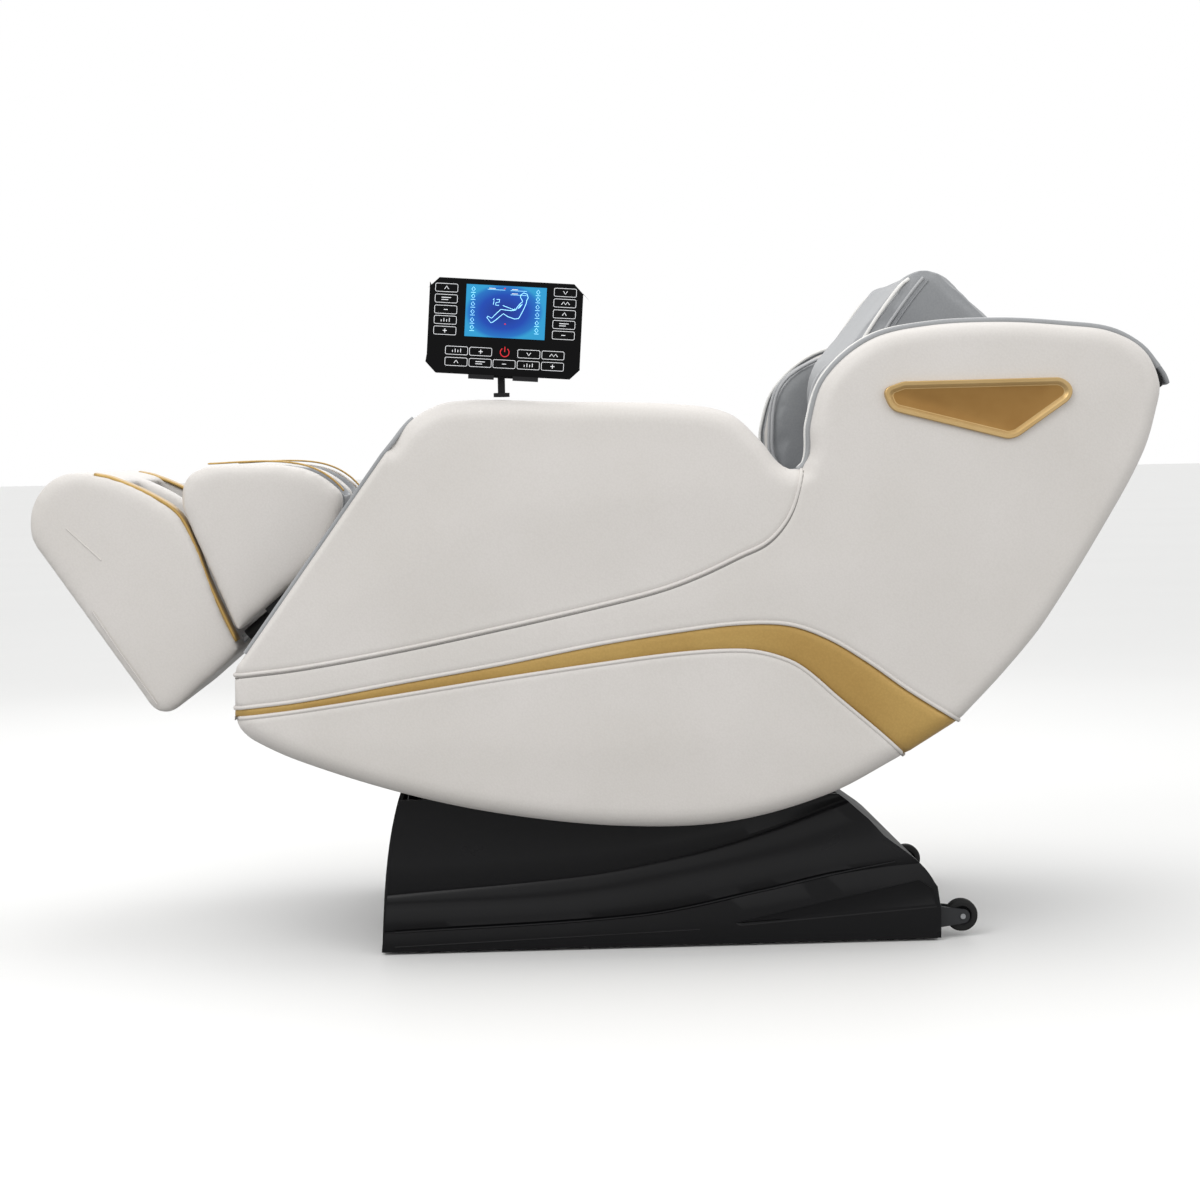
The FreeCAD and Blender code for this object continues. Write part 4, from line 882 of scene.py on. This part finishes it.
ridges = {
    "coverRidgeLow": (runs(mm((-330, 12), (137, 27))), 0.2962),
    "coverRidgeHigh": (flow(mm((-329, 34), (46, 51), (238, 85), (354, 109), (439, 124))), 0.2950),
}
for name, (line, depth) in ridges.items():
    tubePair(name, atDepth(line, -depth), 0.0012, "blackSatin", "base", "black_abs")
print("base covers made")

# ---- transport wheels: turned tyre, dished hub and a bright cap over the axle
wheelCentre = Vector((0.546, -0.261, 0.033))


def turned(profile, centre, steps=48):
    # spins a half profile of (out along Y, radius) round the wheel's axle
    bm = bmesh.new()
    verts = [bm.verts.new((0, y, r)) for y, r in profile]
    for a, b in zip(verts, verts[1:]):
        bm.edges.new((a, b))
    bmesh.ops.spin(bm, geom=bm.verts[:] + bm.edges[:], axis=(0, 1, 0), cent=(0, 0, 0), angle=math.tau, steps=steps,
                   use_merge=True)
    bmesh.ops.remove_doubles(bm, verts=bm.verts, dist=0.00001)
    bmesh.ops.translate(bm, vec=centre, verts=bm.verts)
    bmesh.ops.recalc_face_normals(bm, faces=bm.faces)
    return bm


tyreProfile = [(-0.011, 0.0155), (-0.0112, 0.0195), (-0.0108, 0.0225), (-0.0092, 0.0243), (-0.006, 0.0249),
               (-0.0008, 0.025), (0.0, 0.0243), (0.0008, 0.025), (0.006, 0.0249), (0.0092, 0.0243),
               (0.0108, 0.0225), (0.0112, 0.0195), (0.011, 0.0155), (-0.011, 0.0155)]
hubProfile = [(-0.0100, 0.0157), (-0.0096, 0.0140), (-0.0045, 0.0128), (-0.0042, 0.0086), (-0.0102, 0.0076),
              (-0.0108, 0.0066), (-0.0108, 0.0042), (0.0108, 0.0042), (0.0108, 0.0066), (0.0102, 0.0076),
              (0.0042, 0.0086), (0.0045, 0.0128), (0.0096, 0.0140), (0.0100, 0.0157), (-0.0100, 0.0157)]
capProfile = [(-0.0178, 0.0), (-0.0176, 0.0030), (-0.0168, 0.0042), (-0.0155, 0.0044)]
tyre = addPiece("wheelTyreLeft", turned(tyreProfile, wheelCentre), "footRubber", "wheel_left",
                ["transport_wheel_left"], "tyre", sharp=40)
hub = addPiece("wheelHubLeft", turned(hubProfile, wheelCentre), "blackGloss", "wheel_left", slotName="black_abs",
               sharp=35)
otherSide(tyre, "wheelTyreRight", "wheel_right", ["transport_wheel_right"])
otherSide(hub, "wheelHubRight", "wheel_right")
axleCap = addPiece("axleCapLeft", turned(capProfile, wheelCentre - Vector((0, 0.0005, 0))), "groundSteel", "base",
                   slotName="bright_steel")
otherSide(axleCap, "axleCapRight")

# massage rollers: cast balls with a rounded, grooved tread
for spot in ("upper", "lower"):
    for side in ("left", "right"):
        low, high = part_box(f"{spot}_roller_{side}")
        centre, radius, half = (low + high) / 2, (high.z - low.z) / 2, (high.y - low.y) / 2
        profile = [(-half, 0.0052), (-half, radius * 0.5), (-half * 0.92, radius * 0.72),
                   (-half * 0.6, radius * 0.93), (-half * 0.14, radius), (0, radius * 0.965), (half * 0.14, radius),
                   (half * 0.6, radius * 0.93), (half * 0.92, radius * 0.72), (half, radius * 0.5), (half, 0.0052),
                   (-half, 0.0052)]
        addPiece(f"massageBall{spot.title()}{side.title()}", turned(profile, centre), "rollerSkin",
                 f"roller_{spot}_{side}", [f"{spot}_roller_{side}"], "roller_plastic", sharp=50)
print("wheels and rollers made")

# ---- control tablet
tablet = {"centre": Vector((-0.142, 0.946)), "roll": math.radians(-4), "front": -0.342, "rear": -0.328,
          "halfWidth": 114, "halfHeight": 70.5, "corner": 14,
          "border": 0.0035, "lip": 0.0008, "sunk": 0.0006, "edge": 0.0014}
tabletTurn = Matrix.Rotation(tablet["roll"], 2)


def onTablet(u, v, proud=0.0):
    # a place on the tablet's face: right and up from its middle, in millimetres
    p = tablet["centre"] + tabletTurn @ Vector((u / 1000, v / 1000))
    return Vector((p.x, tablet["front"] - proud, p.y))


def outerEdge(edge):
    # a long edge that lies in the front or the rear face
    planes = (tablet["front"], tablet["rear"])
    return edge.calc_length() > 0.01 and all(min(abs(v.co.y - y) for y in planes) < 1e-6 for v in edge.verts)


w, h, k = tablet["halfWidth"], tablet["halfHeight"], tablet["corner"]
outline = ((-w + k, h), (w - k, h), (w, h - k), (w, -h + k), (w - k, -h), (-w + k, -h), (-w, -h + k), (-w, h - k))
bm = bmesh.new()
bm.faces.new([bm.verts.new(onTablet(u, v)) for u, v in outline])
face = bm.faces[:]
bmesh.ops.inset_region(bm, faces=face, thickness=tablet["border"], use_boundary=True, use_even_offset=False)
for v in {v for f in face for v in f.verts}:
    v.co.y += tablet["sunk"]
bmesh.ops.inset_region(bm, faces=face, thickness=tablet["lip"], use_boundary=True, use_even_offset=False)
for v in rowOff(bm):
    v.co.y = tablet["rear"]
bmesh.ops.holes_fill(bm, edges=openEdges(bm), sides=0)
bmesh.ops.bevel(bm, geom=[e for e in bm.edges if outerEdge(e)], offset=tablet["edge"], segments=3, profile=0.5,
                affect="EDGES", material=-1)
bmesh.ops.recalc_face_normals(bm, faces=bm.faces)
addPiece("tabletHousing", bm, "blackGlass", "tablet", ["tablet_housing"], "black_abs", sharp=30)


def inkLines(name, strokes, radius, finishName, proud=0.0, closed=False):
    tube(name, [[onTablet(u, v, proud) for u, v in stroke] for stroke in strokes], radius / 1000, finishName,
         "tablet", "screen", closed=closed)


def arcPoints(u, v, radius, angles):
    return [(u + radius * math.cos(math.radians(a)), v + radius * math.sin(math.radians(a))) for a in angles]


def keyOutline(u, v, halfW, halfH, corner=2.2):
    points = []
    for quarter, (sideW, sideH) in enumerate(((1, 1), (-1, 1), (-1, -1), (1, -1))):
        points += arcPoints(u + sideW * (halfW - corner), v + sideH * (halfH - corner), corner,
                            [quarter * 90 + a for a in (0, 30, 60, 90)])
    return points


faceProud = -0.0004
keyHalf = (16.5, 6.0)
keys = [(-88.8, v) for v in (55.5, 39.4, 23.2, 7.9, -7.8)]
keys += [(87.3, v) for v in (57.3, 41.5, 25.3, 9.6, -6.0)]
keys += [(u, -36.4) for u in (-70, -34.2, 37.4, 73.4)]
keys += [(u, -53.0) for u in (-70, -34.2, 1.4, 37.4, 73.4)]
marks = [   # generic pictures: plus, minus, up, down, bars, lines, wave
    [[(-3, 0), (3, 0)], [(0, -3), (0, 3)]],
    [[(-3, 0), (3, 0)]],
    [[(-3, -2), (0, 2.4), (3, -2)]],
    [[(-3, 2), (0, -2.4), (3, 2)]],
    [[(u, -2.5), (u, top)] for u, top in ((-6, 0.5), (-2, 2.5), (2, 1), (6, 3))],
    [[(-7, 1.6), (7, 1.6)], [(-7, -1.6), (3, -1.6)]],
    [[(-5, -2), (-2, 2), (1, -2), (4, 2), (7, -2)]],
]
# the printed key frames, marks and power sign carry the inks' faint painted glow
inkLines("keyFrames", [keyOutline(*key, *keyHalf) for key in keys], 0.42, "whiteInk", faceProud, closed=True)
inkLines("keyMarks", [[(u + a, v + b) for a, b in stroke] for i, (u, v) in enumerate(keys)
                      for stroke in marks[(i * 3 + 2) % len(marks)]], 0.6, "whiteInk", faceProud)
powerRing = arcPoints(1.5, -35.6, 6.5, range(125, 416, 10))
inkLines("powerSign", [powerRing, [(1.5, -35.0), (1.5, -27.2)]], 0.75, "redInk", faceProud)

# display drawing: reclined figure of plain strokes, digits, gauges and two columns of little pictures
drawProud = 0.0009
figure = [(30.5, 52), (25.6, 53.5), (21.6, 50.6), (21.0, 46.6), (23.4, 43.2), (24.4, 40.4), (20.8, 37.4),
          (16.8, 31.8), (14.6, 27.6), (8.4, 26.4), (-1, 27.0), (-7.2, 27.6), (-13, 21.8), (-20.4, 13.8),
          (-26.0, 16.6), (-27.4, 14.6), (-21.2, 7.0), (-18.2, 8.2), (-12.6, 12.8), (-3.2, 21.4), (3.4, 17.4),
          (13.6, 14.4), (19.8, 15.4), (22.4, 20.6), (26.8, 29.8), (30.0, 38.6), (30.6, 43.2), (32.6, 47.0),
          (30.5, 52)]
arm = [(22, 36), (17.4, 29.2), (20.6, 32.0), (24.2, 37)]
table = [(-4.5, 33.4), (12, 28.0), (14, 29.6)]
digits = [[(-19.5, 41.2), (-17.6, 43.2), (-18.8, 34.0)],
          [(-14.2, 42.0), (-9.6, 42.0), (-10.2, 38.0), (-14.8, 37.4), (-15.2, 33.4), (-10.4, 33.4)]]
inkLines("displayFigure", [figure, arm, table] + digits, 0.5, "skyInk", drawProud)
gauges = [(-28, 56.2, 26), (6, 56.0, 24), (6, 49.8, 24)]
inkLines("displayGauges", [[(u, v), (u + length, v)] for u, v, length in gauges], 0.3, "skyInk", drawProud)
inkLines("displayLevels", [[(u + 2, v + 1.6), (u + length * 0.45, v + 1.6)] for u, v, length in gauges], 0.6,
         "whiteInk", drawProud)
icons = []
for v in (55.5, 45.0, 33.5, 22.0, 10.0, -1.0):
    for u in (-49, 47):
        icons.append([(u - 2.6, v), (u, v + 3.4), (u + 2.6, v), (u, v - 3.4), (u - 2.6, v)])
        icons.append([(u - 3.4, v - 5), (u + 3.4, v - 5)])
inkLines("displayIcons", icons, 0.36, "skyInk", drawProud)
inkLines("displayDots", [[(-1.2, 6.0), (1.2, 6.0)], [(-4, 58.4), (-1.6, 58.4)]], 1.0, "redInk", drawProud)
print("tablet made")

# ---- floor, light and camera
bpy.ops.mesh.primitive_plane_add(size=160, location=(0, 0, -0.0005))
floor = bpy.context.object
floor.name = "studioFloor"
floorMaterial, tree, shader, place = newMaterial("pale studio floor", {"Roughness": 0.55, "Specular IOR Level": 0.3})
cloudy = addNode(tree, "ShaderNodeTexNoise", {"Scale": 0.8, "Detail": 2.0}, {"Vector": place})
paint = addNode(tree, "ShaderNodeMix", {"data_type": "RGBA", 6: linear("#F4F4F3"), 7: linear("#F0F0EF")},
                {0: cloudy.outputs["Fac"]})
# white to the eye, but it throws only a part of its light back under the chair
seen = addNode(tree, "ShaderNodeLightPath", {})
bounce = addNode(tree, "ShaderNodeMix", {"data_type": "RGBA", 6: linear("#A8A8A8")},
                 {0: seen.outputs["Is Camera Ray"], 7: paint.outputs[2]})
tree.links.new(bounce.outputs[2], shader.inputs["Base Color"])
floor.data.materials.append(floorMaterial)

scene.view_settings.view_transform = "Standard"
world = bpy.data.worlds.new("softRoom")
scene.world = world
world.use_nodes = True
# the backdrop is white to the eye and a little dimmer as a light
background = world.node_tree.nodes["Background"]
background.inputs["Color"].default_value = linear("#FFFFFF")
seen = addNode(world.node_tree, "ShaderNodeLightPath", {})
strength = addNode(world.node_tree, "ShaderNodeMapRange", {"To Min": 0.92, "To Max": 1.0},
                   {"Value": seen.outputs["Is Camera Ray"]})
world.node_tree.links.new(strength.outputs["Result"], background.inputs["Strength"])
lamps = {   # name: place, aim, size, watts
    "keyLamp": ((-1.6, -2.6, 3.0), (0.0, 0.0, 0.6), 2.2, 42),
    "fillLamp": ((2.6, -2.8, 1.6), (0.2, 0.0, 0.6), 2.4, 14),
    "topLamp": ((0.2, 0.6, 3.4), (0.1, 0.0, 0.5), 2.6, 26),
    "backLamp": ((-0.6, 3.2, 2.2), (0.0, 0.0, 0.6), 2.4, 12),
}
for name, (place, aim, size, watts) in lamps.items():
    light = bpy.data.lights.new(name, "AREA")
    light.size = size
    light.energy = watts
    lamp = bpy.data.objects.new(name, light)
    lamp.location = place
    lamp.rotation_euler = (Vector(aim) - Vector(place)).to_track_quat("-Z", "Y").to_euler()
    scene.collection.objects.link(lamp)

view = {"place": Vector((-0.1398, -3.9274, 0.7582)), "yaw": math.radians(2.1), "pitch": math.radians(3.5),
        "roll": math.radians(1.1), "lens": 72, "sensor": 36}
look = Vector((math.sin(view["yaw"]) * math.cos(view["pitch"]), math.cos(view["yaw"]) * math.cos(view["pitch"]),
               -math.sin(view["pitch"])))
sideways = Vector((math.cos(view["yaw"]), -math.sin(view["yaw"]), 0))
upward = sideways.cross(look)
right = sideways * math.cos(view["roll"]) - upward * math.sin(view["roll"])
top = upward * math.cos(view["roll"]) + sideways * math.sin(view["roll"])
camera = bpy.data.objects.new("camera", bpy.data.cameras.new("camera"))
camera.data.lens = view["lens"]
camera.data.sensor_width = view["sensor"]
camera.matrix_world = Matrix.Translation(view["place"]) @ Matrix((right, top, -look)).transposed().to_4x4()
scene.collection.objects.link(camera)
scene.camera = camera

print("finished")
